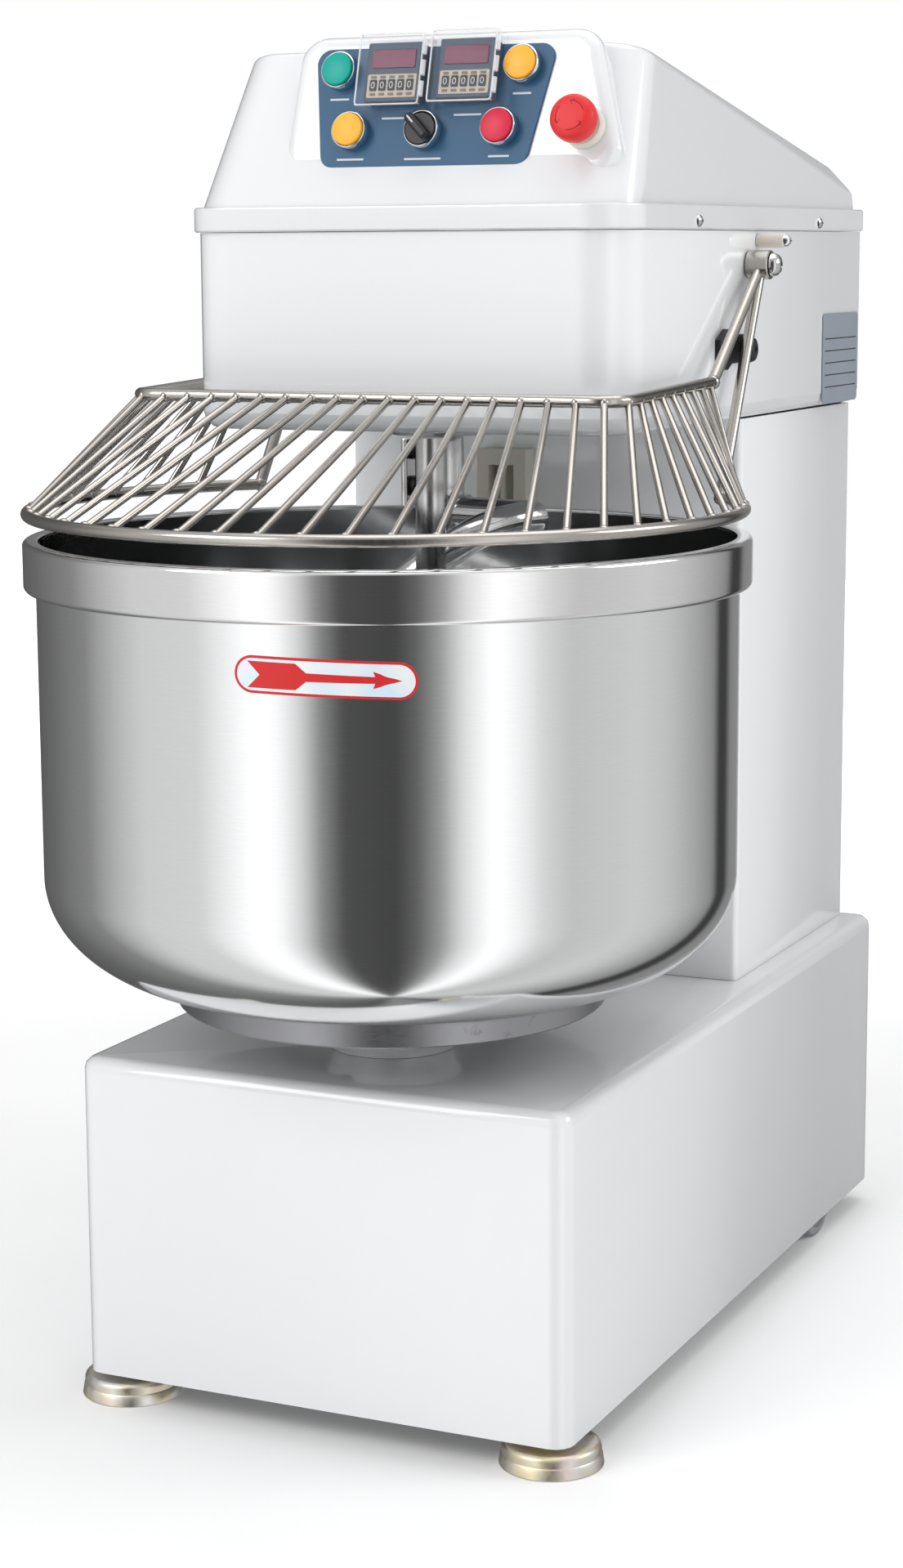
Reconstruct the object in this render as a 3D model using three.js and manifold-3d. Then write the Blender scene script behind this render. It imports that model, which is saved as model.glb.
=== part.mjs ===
// Commercial spiral dough mixer: fixed head, turning bowl, spiral hook, breaker bar and lifting wire guard.
// Millimetres, +Z up, +Y towards the column, -Y towards the person at the controls.
import * as THREE from 'three';
import { mergeVertices } from 'three/addons/utils/BufferGeometryUtils.js';
import { ConvexGeometry } from 'three/addons/geometries/ConvexGeometry.js';
import Module from 'manifold-3d';

const wasm = await Module();
wasm.setup();

// ---------- driving dimensions ----------
const GAP = 0.3; // between pieces that touch
const DEPTH_MIDDLE = 316.35; // from the base's front face to the middle of the whole depth

const SHEET = 4; // thickness of the painted sheet-metal casings
const BASE = { half: 215, front: 0, back: 781, bottom: 23.8, top: 290.5, corner: 16, edge: 11 };
const COLUMN = { half: 187.1, front: 457, back: 766, top: 788.4 };
const HEAD = {
  half: 195.2, front: 163.2, back: 769, bottom: 788.7, top: 948, corner: 42, backCorner: 8, edge: 14,
};
const SKIRT = { half: 198, front: 159, back: 771, bottom: 948.4, top: 968, corner: 42, backCorner: 10 };
const WELL = { half: 150, front: 480, back: 740 }; // opening that the drives pass through

const BOWL = { y: 144.1, radius: 280.7, wall: 2.5, floor: 350, curveTop: 440, curveIn: 120, top: 706.7 };
const RIM = { radius: 290.5, bottom: 670.1, top: 709.9, lip: 278 };
const PLATE = { radius: 174.9, bottom: 331, top: 349.7 };
const SPINDLE = { radius: 25, bottom: 78 };
const PULLEY_Z = { bottom: 84, top: 112 };
const MOTOR_Y = 610; // both motors stand on this line inside the column

const HOOK = { y: 250, shaft: 17, spiral: 94, bar: 14, hubTop: 733.6, armZ: 719, lowZ: 390, start: -15 };
const BREAKER = { x: 46.4, y: 125, radius: 12, bottom: 366 };

const FACE = { tilt: 15, y: 180, z: 990 }; // plane of the control face, leaning back
const BUTTONS = [
  { name: 'slow', x: -64.5, v: 86.5, colour: 0x00b2a5 },
  { name: 'high', x: 95, v: 87.5, colour: 0xffc44b },
  { name: 'reverse', x: -49.5, v: 37, colour: 0xffc44b },
  { name: 'stop', x: 80.5, v: 37.5, colour: 0xe83755 },
];
const SELECTOR = { x: 14.5, v: 36.5 };
const BEZEL = { outer: 15, inner: 13.4, low: 2.3, high: 12 };
const CAP = { radius: 13.1, low: 9, high: 14 };
const ESTOP = { x: 151, v: 37 };
const TIMERS = [
  { name: 'left_timer', x: -13, v: 82 },
  { name: 'right_timer', x: 50, v: 83.5 },
];

const GUARD = { ringY: 141.5, ringR: 284.8, ringZ: 731.8, ringBar: 5, endAngle: 131 };
const HOOP = { half: 213, front: 105, back: 312, z: 820.5, backZ: 827, corner: 24, bar: 5 };
const PIVOT = { y: 446, z: 919.5, pin: 6, boss: 12.5, from: 196.2, to: 216.5 };
const RODS = 37;
const ROD = { radius: 3, ringStep: 6.6, hoopStep: 22.3 };

// ---------- solids ----------
const radians = THREE.MathUtils.degToRad;

/** A closed three.js geometry as a solid, with its faces turned outwards. */
function solid(geometry) {
  const bare = geometry.clone();
  bare.deleteAttribute('normal');
  bare.deleteAttribute('uv');
  const merged = mergeVertices(bare, 1e-4);
  const place = merged.getAttribute('position');
  const corner = [new THREE.Vector3(), new THREE.Vector3(), new THREE.Vector3()];
  const triangles = [];
  let volume = 0;
  for (let i = 0; i < merged.index.count; i += 3) {
    const abc = [0, 1, 2].map((k) => merged.index.getX(i + k));
    if (new Set(abc).size < 3) continue;
    abc.forEach((vertex, k) => corner[k].fromBufferAttribute(place, vertex));
    volume += corner[0].dot(corner[1].clone().cross(corner[2]));
    triangles.push(abc);
  }
  if (volume < 0) triangles.forEach((abc) => abc.reverse());
  return new wasm.Manifold(new wasm.Mesh({
    numProp: 3,
    vertProperties: new Float32Array(place.array),
    triVerts: new Uint32Array(triangles.flat()),
  }));
}

const join = (...parts) => parts.reduce((whole, part) => whole.add(part));
const cut = (body, ...tools) => tools.reduce((rest, tool) => rest.subtract(tool), body);

function box(x0, x1, y0, y1, z0, z1) {
  const geometry = new THREE.BoxGeometry(x1 - x0, y1 - y0, z1 - z0);
  return solid(geometry.translate((x0 + x1) / 2, (y0 + y1) / 2, (z0 + z1) / 2));
}

function post(x, y, radius, z0, z1, sides = 24) {
  const geometry = new THREE.CylinderGeometry(radius, radius, z1 - z0, sides).rotateX(Math.PI / 2);
  return solid(geometry.translate(x, y, (z0 + z1) / 2));
}

function barAlongX(x0, x1, y, z, radius, sides = 20) {
  const geometry = new THREE.CylinderGeometry(radius, radius, x1 - x0, sides).rotateZ(Math.PI / 2);
  return solid(geometry.translate((x0 + x1) / 2, y, z));
}

function barBetween(from, to, radius, sides = 5) {
  const along = to.clone().sub(from);
  const up = new THREE.Vector3(0, 1, 0);
  const turn = new THREE.Quaternion().setFromUnitVectors(up, along.clone().normalize());
  const geometry = new THREE.CylinderGeometry(radius, radius, along.length(), sides).applyQuaternion(turn);
  const middle = from.clone().add(to).multiplyScalar(0.5);
  return solid(geometry.translate(middle.x, middle.y, middle.z));
}

/** A turned piece about a vertical axis; profile points are [radius, height]. */
function turned(profile, x, y, sides = 24) {
  const points = profile.map(([radius, height]) => new THREE.Vector2(radius, height));
  return solid(new THREE.LatheGeometry(points, sides).rotateX(Math.PI / 2).translate(x, y, 0));
}

/** A round bar that follows a curve. */
function swept(curve, radius, steps, sides = 12) {
  const section = new THREE.Shape();
  section.absarc(0, 0, radius, 0, Math.PI * 2);
  const options = { steps, extrudePath: curve, bevelEnabled: false, curveSegments: sides };
  return solid(new THREE.ExtrudeGeometry(section, options));
}

/** Points round a rectangle with round corners; front and back corners may differ, height may slope. */
function outline(half, front, back, cornerFront, cornerBack, height, steps = 4) {
  const heightAt = typeof height === 'function' ? height : () => height;
  const corners = [
    [half - cornerBack, back - cornerBack, cornerBack, 0],
    [cornerBack - half, back - cornerBack, cornerBack, 90],
    [cornerFront - half, front + cornerFront, cornerFront, 180],
    [half - cornerFront, front + cornerFront, cornerFront, 270],
  ];
  const points = [];
  for (const [x, y, radius, from] of corners) {
    for (let i = 0; i <= steps; i++) {
      const angle = radians(from + (90 * i) / steps);
      const px = x + radius * Math.cos(angle);
      const py = y + radius * Math.sin(angle);
      points.push(new THREE.Vector3(px, py, heightAt(py)));
    }
  }
  return points;
}

const hull = (points) => solid(new ConvexGeometry(points));

/** An upright block with round corners, and a round edge of the given size at its top or bottom. */
function block(size, z0, z1, { topEdge = 0, bottomEdge = 0, inset = 0 } = {}) {
  const { half, front, back, corner, backCorner = corner } = size;
  const points = [];
  const ring = (shrink, z) => {
    const less = inset + shrink;
    const radii = [corner, backCorner].map((radius) => Math.max(radius - less, 1));
    points.push(...outline(half - less, front + less, back - less, ...radii, z));
  };
  for (let i = 0; i <= 3; i++) {
    const angle = radians(30 * i);
    ring(topEdge * (1 - Math.cos(angle)), z1 - topEdge * (1 - Math.sin(angle)));
    ring(bottomEdge * (1 - Math.cos(angle)), z0 + bottomEdge * (1 - Math.sin(angle)));
  }
  return hull(points);
}

// ---------- scene graph ----------
const machine = new THREE.Group();
machine.position.y = -DEPTH_MIDDLE;
const face = new THREE.Group(); // local x across, y up the face, z out towards the person
face.position.set(0, FACE.y, FACE.z);
face.rotation.x = radians(90 - FACE.tilt);
machine.add(face);

function material(color, roughness = 0.4, metalness = 0) {
  return new THREE.MeshStandardMaterial({ color, roughness, metalness });
}
const ENAMEL = material(0xedf0f3, 0.25);
const STAINLESS = material(0xc4c6c8, 0.22, 1);
const STEEL = material(0x9a9ca0, 0.35, 1);
const DARK = material(0x2c2d30, 0.5);
const RUBBER = material(0x1c1c1e, 0.8);
const NYLON = material(0xe9e6dc, 0.5);
const ZINC = material(0xc9ad62, 0.35, 1);
const GLASSY = { color: 0xdfe6ea, roughness: 0.1, transparent: true, opacity: 0.4 };
const CLEAR = new THREE.MeshStandardMaterial(GLASSY);

function add(name, body, look, parent = machine) {
  const { vertProperties, triVerts } = body.getMesh();
  const geometry = new THREE.BufferGeometry();
  geometry.setAttribute('position', new THREE.BufferAttribute(new Float32Array(vertProperties), 3));
  geometry.setIndex(new THREE.BufferAttribute(new Uint32Array(triVerts), 1));
  geometry.computeVertexNormals();
  const mesh = new THREE.Mesh(geometry, look);
  mesh.name = name;
  parent.add(mesh);
}

// ---------- casings ----------
const wellCut = (z0, z1) => box(-WELL.half, WELL.half, WELL.front, WELL.back, z0, z1);
const FOOT = { x: 188.9, y: 32.2, stud: 8, cup: 41.4, top: 22.5 };
const WHEEL = { x: 190, y: 650, radius: 37.5, half: 17, axle: 6 };

function buildBase() {
  const shell = cut(
    block(BASE, BASE.bottom, BASE.top, { topEdge: BASE.edge }),
    block(BASE, BASE.bottom - 30, BASE.top - SHEET, { inset: SHEET }),
  );
  const braces = [];
  const inside = block(BASE, BASE.bottom, BASE.top, { inset: SHEET / 2 });
  for (const side of [-1, 1]) {
    const outer = side * (BASE.half - SHEET / 2);
    const across = [side * 150, outer].sort((a, b) => a - b);
    braces.push(box(across[0], across[1], SHEET / 2, 66, BASE.bottom, BASE.bottom + 8).intersect(inside));
    const rib = side * 150;
    braces.push(box(rib - 3, rib + 3, WHEEL.y - 30, WHEEL.y + 30, 26, BASE.top - SHEET / 2));
  }
  const holes = [
    wellCut(BASE.top - 20, BASE.top + 5),
    post(0, BOWL.y, SPINDLE.radius + 2, BASE.top - 20, BASE.top + 5),
    barAlongX(-200, 200, WHEEL.y, WHEEL.radius, WHEEL.axle + GAP),
    ...[-1, 1].map((side) => post(side * FOOT.x, FOOT.y, FOOT.stud + GAP, 20, 40)),
  ];
  add('base_housing', cut(join(shell, ...braces), ...holes), ENAMEL);
}

function buildColumn() {
  const bottom = BASE.top + GAP;
  const { half, front, back, top } = COLUMN;
  const tube = cut(
    block({ half, front, back, corner: 6 }, bottom, top),
    box(SHEET - half, half - SHEET, front + SHEET, back - SHEET, bottom - 5, top + 5),
  );
  add('column_housing', tube, ENAMEL);
  add('rear_panel', box(-150, 150, back + GAP, back + 3, 330, 770), ENAMEL);
}

function buildHead() {
  const shell = cut(
    block(HEAD, HEAD.bottom, HEAD.top, { bottomEdge: HEAD.edge }),
    block(HEAD, HEAD.bottom + SHEET, HEAD.top + 10, { inset: SHEET, bottomEdge: HEAD.edge - SHEET }),
    wellCut(HEAD.bottom - 5, HEAD.bottom + 10),
    post(0, HOOK.y, 45, HEAD.bottom - 5, HEAD.bottom + 10),
  );
  add('head_housing', shell, ENAMEL);
  const plate = box(HEAD.half + GAP, HEAD.half + 1.6, 652, 756, 792, 874);
  add('nameplate', plate, material(0x8495a3, 0.5));
}

const roofAt = (y) => 1093 - (y - 240) * (88 / 505);

function buildCover() {
  const bodyPoints = (inset) => [
    ...outline(191 - inset, 163 + inset, 766 - inset, 42, 16, SKIRT.bottom - (inset ? 5 : 0)),
    ...outline(189.5 - inset, 180 + inset, 762 - inset, 42, 18, 986 - inset),
    ...outline(178 - inset, 231 + inset, 752 - inset, 40, 28, (y) => roofAt(y) - inset),
  ];
  const skirt = hull([
    ...outline(SKIRT.half, SKIRT.front, SKIRT.back, SKIRT.corner, SKIRT.backCorner, SKIRT.bottom),
    ...outline(SKIRT.half, SKIRT.front, SKIRT.back, SKIRT.corner, SKIRT.backCorner, SKIRT.top),
  ]);
  const hood = cut(join(skirt, hull(bodyPoints(0)), buildPod()), hull(bodyPoints(6)));
  add('top_cover', hood, ENAMEL);
}

/** Raised rounded block that carries the controls; it leans back with the control face. */
function buildPod() {
  const onFace = (x, v, w) => new THREE.Vector3(x, v, w).applyEuler(face.rotation).add(face.position);
  const round = 22;
  const edge = 8;
  const sides = [[-112 + round, round, 180], [180 - round, round, 270],
    [158 - round, 119 - round, 0], [-108 + round, 119 - round, 90]];
  const points = [];
  for (const [x, v, from] of sides) {
    for (let i = 0; i <= 6; i++) {
      const angle = radians(from + 15 * i);
      for (const [reach, w] of [[round, -edge], [round - 2.5, -2.5], [round - edge, 0]]) {
        points.push(onFace(x + reach * Math.cos(angle), v + reach * Math.sin(angle), w));
      }
    }
  }
  const deep = 100;
  points.push(...[[-108, 10], [174, 10], [154, 75], [-104, 75]].map(([x, v]) => onFace(x, v, -deep)));
  return hull(points);
}

// ---------- controls, in the face's own directions ----------
function ring(x, v, outer, inner, w0, w1, sides = 24) {
  return cut(post(x, v, outer, w0, w1, sides), post(x, v, inner, w0 - 1, w1 + 1, sides));
}

function buildPanel() {
  const corner = 12;
  const rounded = [[-77 + corner, 8 + corner, 180], [106 - corner, 8 + corner, 270],
    [120 - corner, 105 - corner, 0], [-88 + corner, 106 - corner, 90]];
  const points = [];
  for (const [x, v, from] of rounded) {
    for (let i = 0; i <= 5; i++) {
      const angle = radians(from + 18 * i);
      const px = x + corner * Math.cos(angle);
      const pv = v + corner * Math.sin(angle);
      points.push(new THREE.Vector3(px, pv, GAP), new THREE.Vector3(px, pv, 2));
    }
  }
  add('control_panel', hull(points), material(0x3a6285, 0.45), face);
}

const bezelAt = (x, v) => ring(x, v, BEZEL.outer, BEZEL.inner, BEZEL.low, BEZEL.high);

function buildButtons() {
  const chrome = material(0xd5d8db, 0.12, 1);
  for (const { name, x, v, colour } of BUTTONS) {
    add(`${name}_bezel`, bezelAt(x, v), chrome, face);
    add(`${name}_button`, post(x, v, CAP.radius, CAP.low, CAP.high, 24), material(colour, 0.35), face);
  }
  add('selector_bezel', bezelAt(SELECTOR.x, SELECTOR.v), chrome, face);
  const lever = solid(new THREE.BoxGeometry(8, 27, 10).rotateZ(radians(45))
    .translate(SELECTOR.x, SELECTOR.v, BEZEL.high + GAP + 5));
  add('selector_knob', join(post(SELECTOR.x, SELECTOR.v, CAP.radius, 2.6, 13, 24), lever), DARK, face);
}

function buildEmergencyStop() {
  const { x, v } = ESTOP;
  add('estop_collar', ring(x, v, 17, 8.4, GAP, 9), NYLON, face);
  add('estop_stem', post(x, v, 8, 4.6, 15.7, 24), DARK, face);
  const head = turned([[0, 16], [12, 16], [17.6, 19], [18.5, 24], [18, 30], [15.7, 33], [0, 34]], x, v, 24);
  add('estop_head', head, material(0xe42d2d, 0.35), face);
}

function buildTimers() {
  const half = 29.5;
  const lidBack = 20.3;
  const hinge = 22.5;
  for (const { name, x, v } of TIMERS) {
    const frame = cut(
      box(x - half, x + half, v - half, v + half, 2.3, 20),
      box(x - half + 3, x + half - 3, v - half + 3, v + half - 3, 12, 21),
    );
    add(name, frame, material(0x6c7682, 0.4), face);
    const lid = box(x - half, x + half - 1.4, v - half, v + half, lidBack, lidBack + 3);
    const knuckle = solid(new THREE.CylinderGeometry(2.2, 2.2, 2 * half - 8, 16).translate(x + half, v, hinge));
    add(`${name}_cover`, join(lid, knuckle), CLEAR, face);
  }
}

// ---------- bowl and its drive ----------
/** Outside of the bowl shell, from the axis outwards and up, moved inwards by the given amount. */
function bowlProfile(inset, top) {
  const centre = BOWL.radius - BOWL.curveIn;
  const points = [[0, BOWL.floor + inset]];
  const depth = BOWL.curveTop - BOWL.floor;
  for (let i = 0; i <= 6; i++) {
    const angle = radians(90 - 15 * i);
    const across = (BOWL.curveIn - inset) * Math.cos(angle);
    points.push([centre + across, BOWL.curveTop - (depth - inset) * Math.sin(angle)]);
  }
  points.push([BOWL.radius - inset, top]);
  return points;
}

function buildBowl() {
  const outside = bowlProfile(0, BOWL.top);
  const inside = bowlProfile(BOWL.wall, BOWL.top).reverse();
  add('bowl_shell', turned([...outside, ...inside], 0, BOWL.y, 40), STAINLESS);
  const { radius, bottom, top, lip } = RIM;
  const inner = BOWL.radius + GAP;
  const band = [[inner, bottom], [radius - 4, bottom], [radius, bottom + 4],
    [radius, top - 4], [radius - 4, top], [lip, top],
    [lip, BOWL.top + GAP], [inner, BOWL.top + GAP], [inner, bottom]];
  add('bowl_rim', turned(band, 0, BOWL.y, 40), STAINLESS);
  add('bowl_base_plate', post(0, BOWL.y, PLATE.radius, PLATE.bottom, PLATE.top, 40), STEEL);
  add('bowl_spindle', post(0, BOWL.y, SPINDLE.radius, SPINDLE.bottom, PLATE.bottom - GAP), STEEL);
  buildArrowLabel();
}

/** Thin curved sticker on the bowl's front, its right end a little lower than its left. */
function buildArrowLabel() {
  const label = { azimuth: 16.4, halfAngle: 13.9, z: 632, halfHeight: 13.8, drop: 4.4 };
  const inner = BOWL.radius + GAP;
  const slice = new THREE.Shape();
  const start = radians(label.azimuth - label.halfAngle - 90);
  const end = radians(label.azimuth + label.halfAngle - 90);
  slice.absarc(0, 0, inner + 0.6, start, end, false);
  slice.absarc(0, 0, inner, end, start, true);
  const options = { depth: 2 * label.halfHeight, bevelEnabled: false, curveSegments: 6 };
  const strip = new THREE.ExtrudeGeometry(slice, options).translate(0, BOWL.y, label.z - label.halfHeight);
  const [left, right] = [inner * Math.cos(start), inner * Math.cos(end)];
  const slope = -label.drop / (right - left);
  const shift = -slope * (left + right) / 2;
  strip.applyMatrix4(new THREE.Matrix4().set(1, 0, 0, 0, 0, 1, 0, 0, slope, 0, 1, shift, 0, 0, 0, 1));
  add('arrow_label', solid(strip), material(0xe7ecf2, 0.3));
}

function pulley(y, radius, bore, z0, z1) {
  const rim = post(0, y, radius, z0, z1, 36);
  const bored = bore ? cut(rim, post(0, y, bore, z0 - 1, z1 + 1)) : rim;
  return bored;
}

/** A flat belt round two pulleys on the Y axis. */
function belt(y0, r0, y1, r1, z0, z1, thick = 5) {
  const loop = (extra, low, high) => {
    const points = [];
    for (const [y, r] of [[y0, r0 + extra], [y1, r1 + extra]]) {
      for (let i = 0; i < 36; i++) {
        const angle = radians(10 * i);
        for (const z of [low, high]) {
          points.push(new THREE.Vector3(r * Math.cos(angle), y + r * Math.sin(angle), z));
        }
      }
    }
    return hull(points);
  };
  return cut(loop(GAP + thick, z0, z1), loop(GAP, z0 - 1, z1 + 1));
}

const BOWL_PULLEY = 125;
const BOWL_MOTOR_PULLEY = 30;
const HOOK_PULLEY = 70;
const HOOK_MOTOR_PULLEY = 35;
const HOOK_BELT_Z = { bottom: 892, top: 918 };

function buildBowlDrive() {
  const { bottom, top } = PULLEY_Z;
  add('bowl_pulley', pulley(BOWL.y, BOWL_PULLEY, SPINDLE.radius + GAP, bottom, top), STEEL);
  add('bowl_belt', belt(BOWL.y, BOWL_PULLEY, MOTOR_Y, BOWL_MOTOR_PULLEY, bottom + 2, top - 2), RUBBER);
  const low = BASE.top + GAP;
  const bore = SPINDLE.radius + 0.5;
  const neck = ring(0, BOWL.y, 52, bore, low, 312, 36);
  const flange = ring(0, BOWL.y, 57.5, bore, 311, PLATE.bottom - 1.5, 36);
  add('bowl_pedestal', join(neck, flange), ENAMEL);
  add('bowl_bearing', ring(0, BOWL.y, 46, SPINDLE.radius + 0.5, 196, BASE.top - SHEET - GAP), STEEL);
  const motorPlate = box(-140, 140, 500, 720, 250, 260);
  const motor = join(post(0, MOTOR_Y, 72, 262, 500), box(-100, 100, 530, 690, 259.5, 270), motorPlate);
  add('bowl_motor', cut(motor, post(0, MOTOR_Y, 13, 240, 300)), DARK);
  const rotor = join(pulley(MOTOR_Y, BOWL_MOTOR_PULLEY, 0, bottom, top), post(0, MOTOR_Y, 12, top - 1, 298));
  add('bowl_motor_pulley', rotor, STEEL);
}

// ---------- hook and its drive ----------
/** Centre line of the hook's bar: out from the hub, then down a spiral that curls in at its foot. */
class HookLine extends THREE.Curve {
  getPoint(t, target = new THREE.Vector3()) {
    const armShare = 0.09;
    const along = Math.max(0, (t - armShare) / (1 - armShare));
    const turnBack = radians(HOOK.start - 430 * along);
    const curl = THREE.MathUtils.smoothstep(along, 0.8, 1) * 48;
    const out = THREE.MathUtils.lerp(0, HOOK.spiral, Math.sin(Math.min(t / armShare, 1) * Math.PI / 2));
    const fall = THREE.MathUtils.lerp(0.85 * along * along, along, THREE.MathUtils.smoothstep(along, 0, 0.2));
    const z = THREE.MathUtils.lerp(HOOK.armZ, HOOK.lowZ, fall);
    const r = out - curl;
    return target.set(r * Math.cos(turnBack), HOOK.y + r * Math.sin(turnBack), z);
  }
}

function buildHook() {
  const hub = post(0, HOOK.y, 24, HOOK.armZ - 18, HOOK.hubTop);
  add('spiral_hook', join(hub, swept(new HookLine(), HOOK.bar, 44, 4)), STAINLESS);
  const shaft = post(0, HOOK.y, HOOK.shaft, HOOK.hubTop + GAP, 926);
  add('hook_shaft', shaft, STAINLESS);
  const housing = ring(0, HOOK.y, 44, HOOK.shaft + 0.5, 784, 872);
  const flange = ring(0, HOOK.y, 58, HOOK.shaft + 0.5, HEAD.bottom + SHEET + GAP, 806);
  add('hook_bearing', join(housing, flange), STEEL);
  const { bottom, top } = HOOK_BELT_Z;
  add('hook_pulley', pulley(HOOK.y, HOOK_PULLEY, HOOK.shaft + GAP, bottom - 2, top + 2), STEEL);
  add('hook_belt', belt(HOOK.y, HOOK_PULLEY, MOTOR_Y, HOOK_MOTOR_PULLEY, bottom, top), RUBBER);
  const shelf = box(-COLUMN.half + SHEET + GAP, COLUMN.half - SHEET - GAP, 490, 730, 560, 568);
  const motor = join(shelf, post(0, MOTOR_Y, 78, 567, 830), box(-95, 95, 540, 680, 567, 580));
  add('hook_motor', cut(motor, post(0, MOTOR_Y, 15, 790, 840)), DARK);
  const rotor = join(
    pulley(MOTOR_Y, HOOK_MOTOR_PULLEY, 0, bottom - 2, top + 2),
    post(0, MOTOR_Y, 14, 792, bottom),
  );
  add('hook_motor_pulley', rotor, STEEL);
}

function buildBreakerBar() {
  const { x, y, radius, bottom } = BREAKER;
  const top = HEAD.bottom - GAP;
  const tip = turned([[0, bottom], [radius - 4, bottom], [radius, bottom + 4], [radius, top], [0, top]], x, y);
  add('breaker_bar', tip, STAINLESS);
  const clamp = { x0: x - 22, x1: x - 17, y0: y - 8, y1: y + 26, z0: 733, z1: top };
  add('breaker_bracket', box(clamp.x0, clamp.x1, clamp.y0, clamp.y1, clamp.z0, clamp.z1), STAINLESS);
  for (const [name, z] of [['upper_bracket_bolt', 779], ['lower_bracket_bolt', 750]]) {
    add(name, barAlongX(clamp.x1 + GAP, x - radius - GAP, y + 5, z, 8), DARK);
  }
}

// ---------- rim roller ----------
function buildRimRoller() {
  const x = -31;
  const radius = 9.5;
  const y = BOWL.y + Math.sqrt((RIM.radius + radius + GAP) ** 2 - x ** 2);
  const blockFront = 437;
  const housing = box(x - 24, x + 24, blockFront, COLUMN.front - GAP, 664, 759);
  const slot = box(x - 12, x + 12, blockFront - 5, COLUMN.front - 3, 672, 745);
  const body = join(cut(housing, slot), post(x, y, 3, 670, 747, 20));
  add('roller_block', body, NYLON);
  add('rim_roller', ring(x, y, radius, 3.2, 674, 708), DARK);
}

// ---------- lifting guard ----------
const atRing = (angle, z = GUARD.ringZ) => new THREE.Vector3(
  GUARD.ringR * Math.sin(radians(angle)),
  GUARD.ringY - GUARD.ringR * Math.cos(radians(angle)),
  z,
);

/** Upper hoop: straight across the front, round corners, then back along both sides. */
function hoopPath() {
  const { half, front, back, z, backZ, corner } = HOOP;
  const path = new THREE.CurvePath();
  const point = (side, x, y, height) => new THREE.Vector3(side * x, y, height);
  const leftBack = point(-1, half, back, backZ);
  const leftSide = point(-1, half, front + corner, z);
  const leftFront = point(-1, half - corner, front, z);
  const rightFront = point(1, half - corner, front, z);
  const rightSide = point(1, half, front + corner, z);
  const rightBack = point(1, half, back, backZ);
  path.add(new THREE.LineCurve3(leftBack, leftSide));
  path.add(new THREE.QuadraticBezierCurve3(leftSide, point(-1, half, front, z), leftFront));
  path.add(new THREE.LineCurve3(leftFront, rightFront));
  path.add(new THREE.QuadraticBezierCurve3(rightFront, point(1, half, front, z), rightSide));
  path.add(new THREE.LineCurve3(rightSide, rightBack));
  return path;
}

class RingLine extends THREE.Curve {
  getPoint(t, target = new THREE.Vector3()) {
    return target.copy(atRing(GUARD.endAngle * (2 * t - 1)));
  }
}

function buildGuard() {
  const hoop = hoopPath();
  const parts = [swept(new RingLine(), GUARD.ringBar, 32, 4), swept(hoop, HOOP.bar, 28, 3)];
  const length = hoop.getLength();
  for (let i = 0; i < RODS; i++) {
    const step = i - (RODS - 1) / 2;
    const top = hoop.getPointAt(0.5 + (step * ROD.hoopStep) / length);
    parts.push(barBetween(top, atRing(step * ROD.ringStep), ROD.radius));
  }
  const bores = [];
  for (const side of [-1, 1]) {
    const [x0, x1] = [side * PIVOT.from, side * PIVOT.to].sort((a, b) => a - b);
    const eye = new THREE.Vector3(side * 207, PIVOT.y, PIVOT.z);
    const hoopEnd = new THREE.Vector3(side * HOOP.half, HOOP.back, HOOP.backZ);
    parts.push(barAlongX(x0, x1, PIVOT.y, PIVOT.z, PIVOT.boss));
    parts.push(barBetween(hoopEnd, eye, GUARD.ringBar, 6));
    parts.push(solid(new THREE.SphereGeometry(GUARD.ringBar, 8, 6).translate(...hoopEnd.toArray())));
    parts.push(barBetween(atRing(side * GUARD.endAngle), eye, GUARD.ringBar, 6));
    parts.push(solid(new THREE.SphereGeometry(6, 8, 6).translate(...atRing(side * GUARD.endAngle).toArray())));
    bores.push(barAlongX(x0 - 2, x1 + 2, PIVOT.y, PIVOT.z, PIVOT.pin + GAP));
  }
  add('guard_cage', cut(join(...parts), ...bores), STAINLESS);
  for (const [name, side] of [['left', -1], ['right', 1]]) {
    const along = (a, b) => [side * a, side * b].sort((p, q) => p - q);
    const pin = barAlongX(...along(HEAD.half + GAP, 218), PIVOT.y, PIVOT.z, PIVOT.pin);
    const cap = barAlongX(...along(217, 225), PIVOT.y, PIVOT.z, 10);
    add(`guard_pivot_${name}`, join(pin, cap), STEEL);
  }
}

function buildSideFittings() {
  const wall = HEAD.half + GAP;
  const sleeve = join(barAlongX(wall, 220, 470, 939.5, 6.3), barAlongX(219.5, 225.5, 470, 939.5, 5));
  add('guard_stop_pin', sleeve, NYLON);
  const switchBody = join(box(wall, 200.6, 356, 436, 834, 866), barAlongX(200, 212, 424, 849, 11));
  add('guard_switch', switchBody, RUBBER);
  const gland = join(
    barAlongY(110, 350, COLUMN.back + 3.3, COLUMN.back + 9, 14),
    barAlongY(110, 350, COLUMN.back + 8.5, BASE.back, 10),
  );
  add('cable_gland', cut(gland, barAlongY(110, 350, COLUMN.back + 6, BASE.back + 5, 5)), RUBBER);
}

function barAlongY(x, z, y0, y1, radius) {
  return solid(new THREE.CylinderGeometry(radius, radius, y1 - y0, 24).translate(x, (y0 + y1) / 2, z));
}

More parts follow.
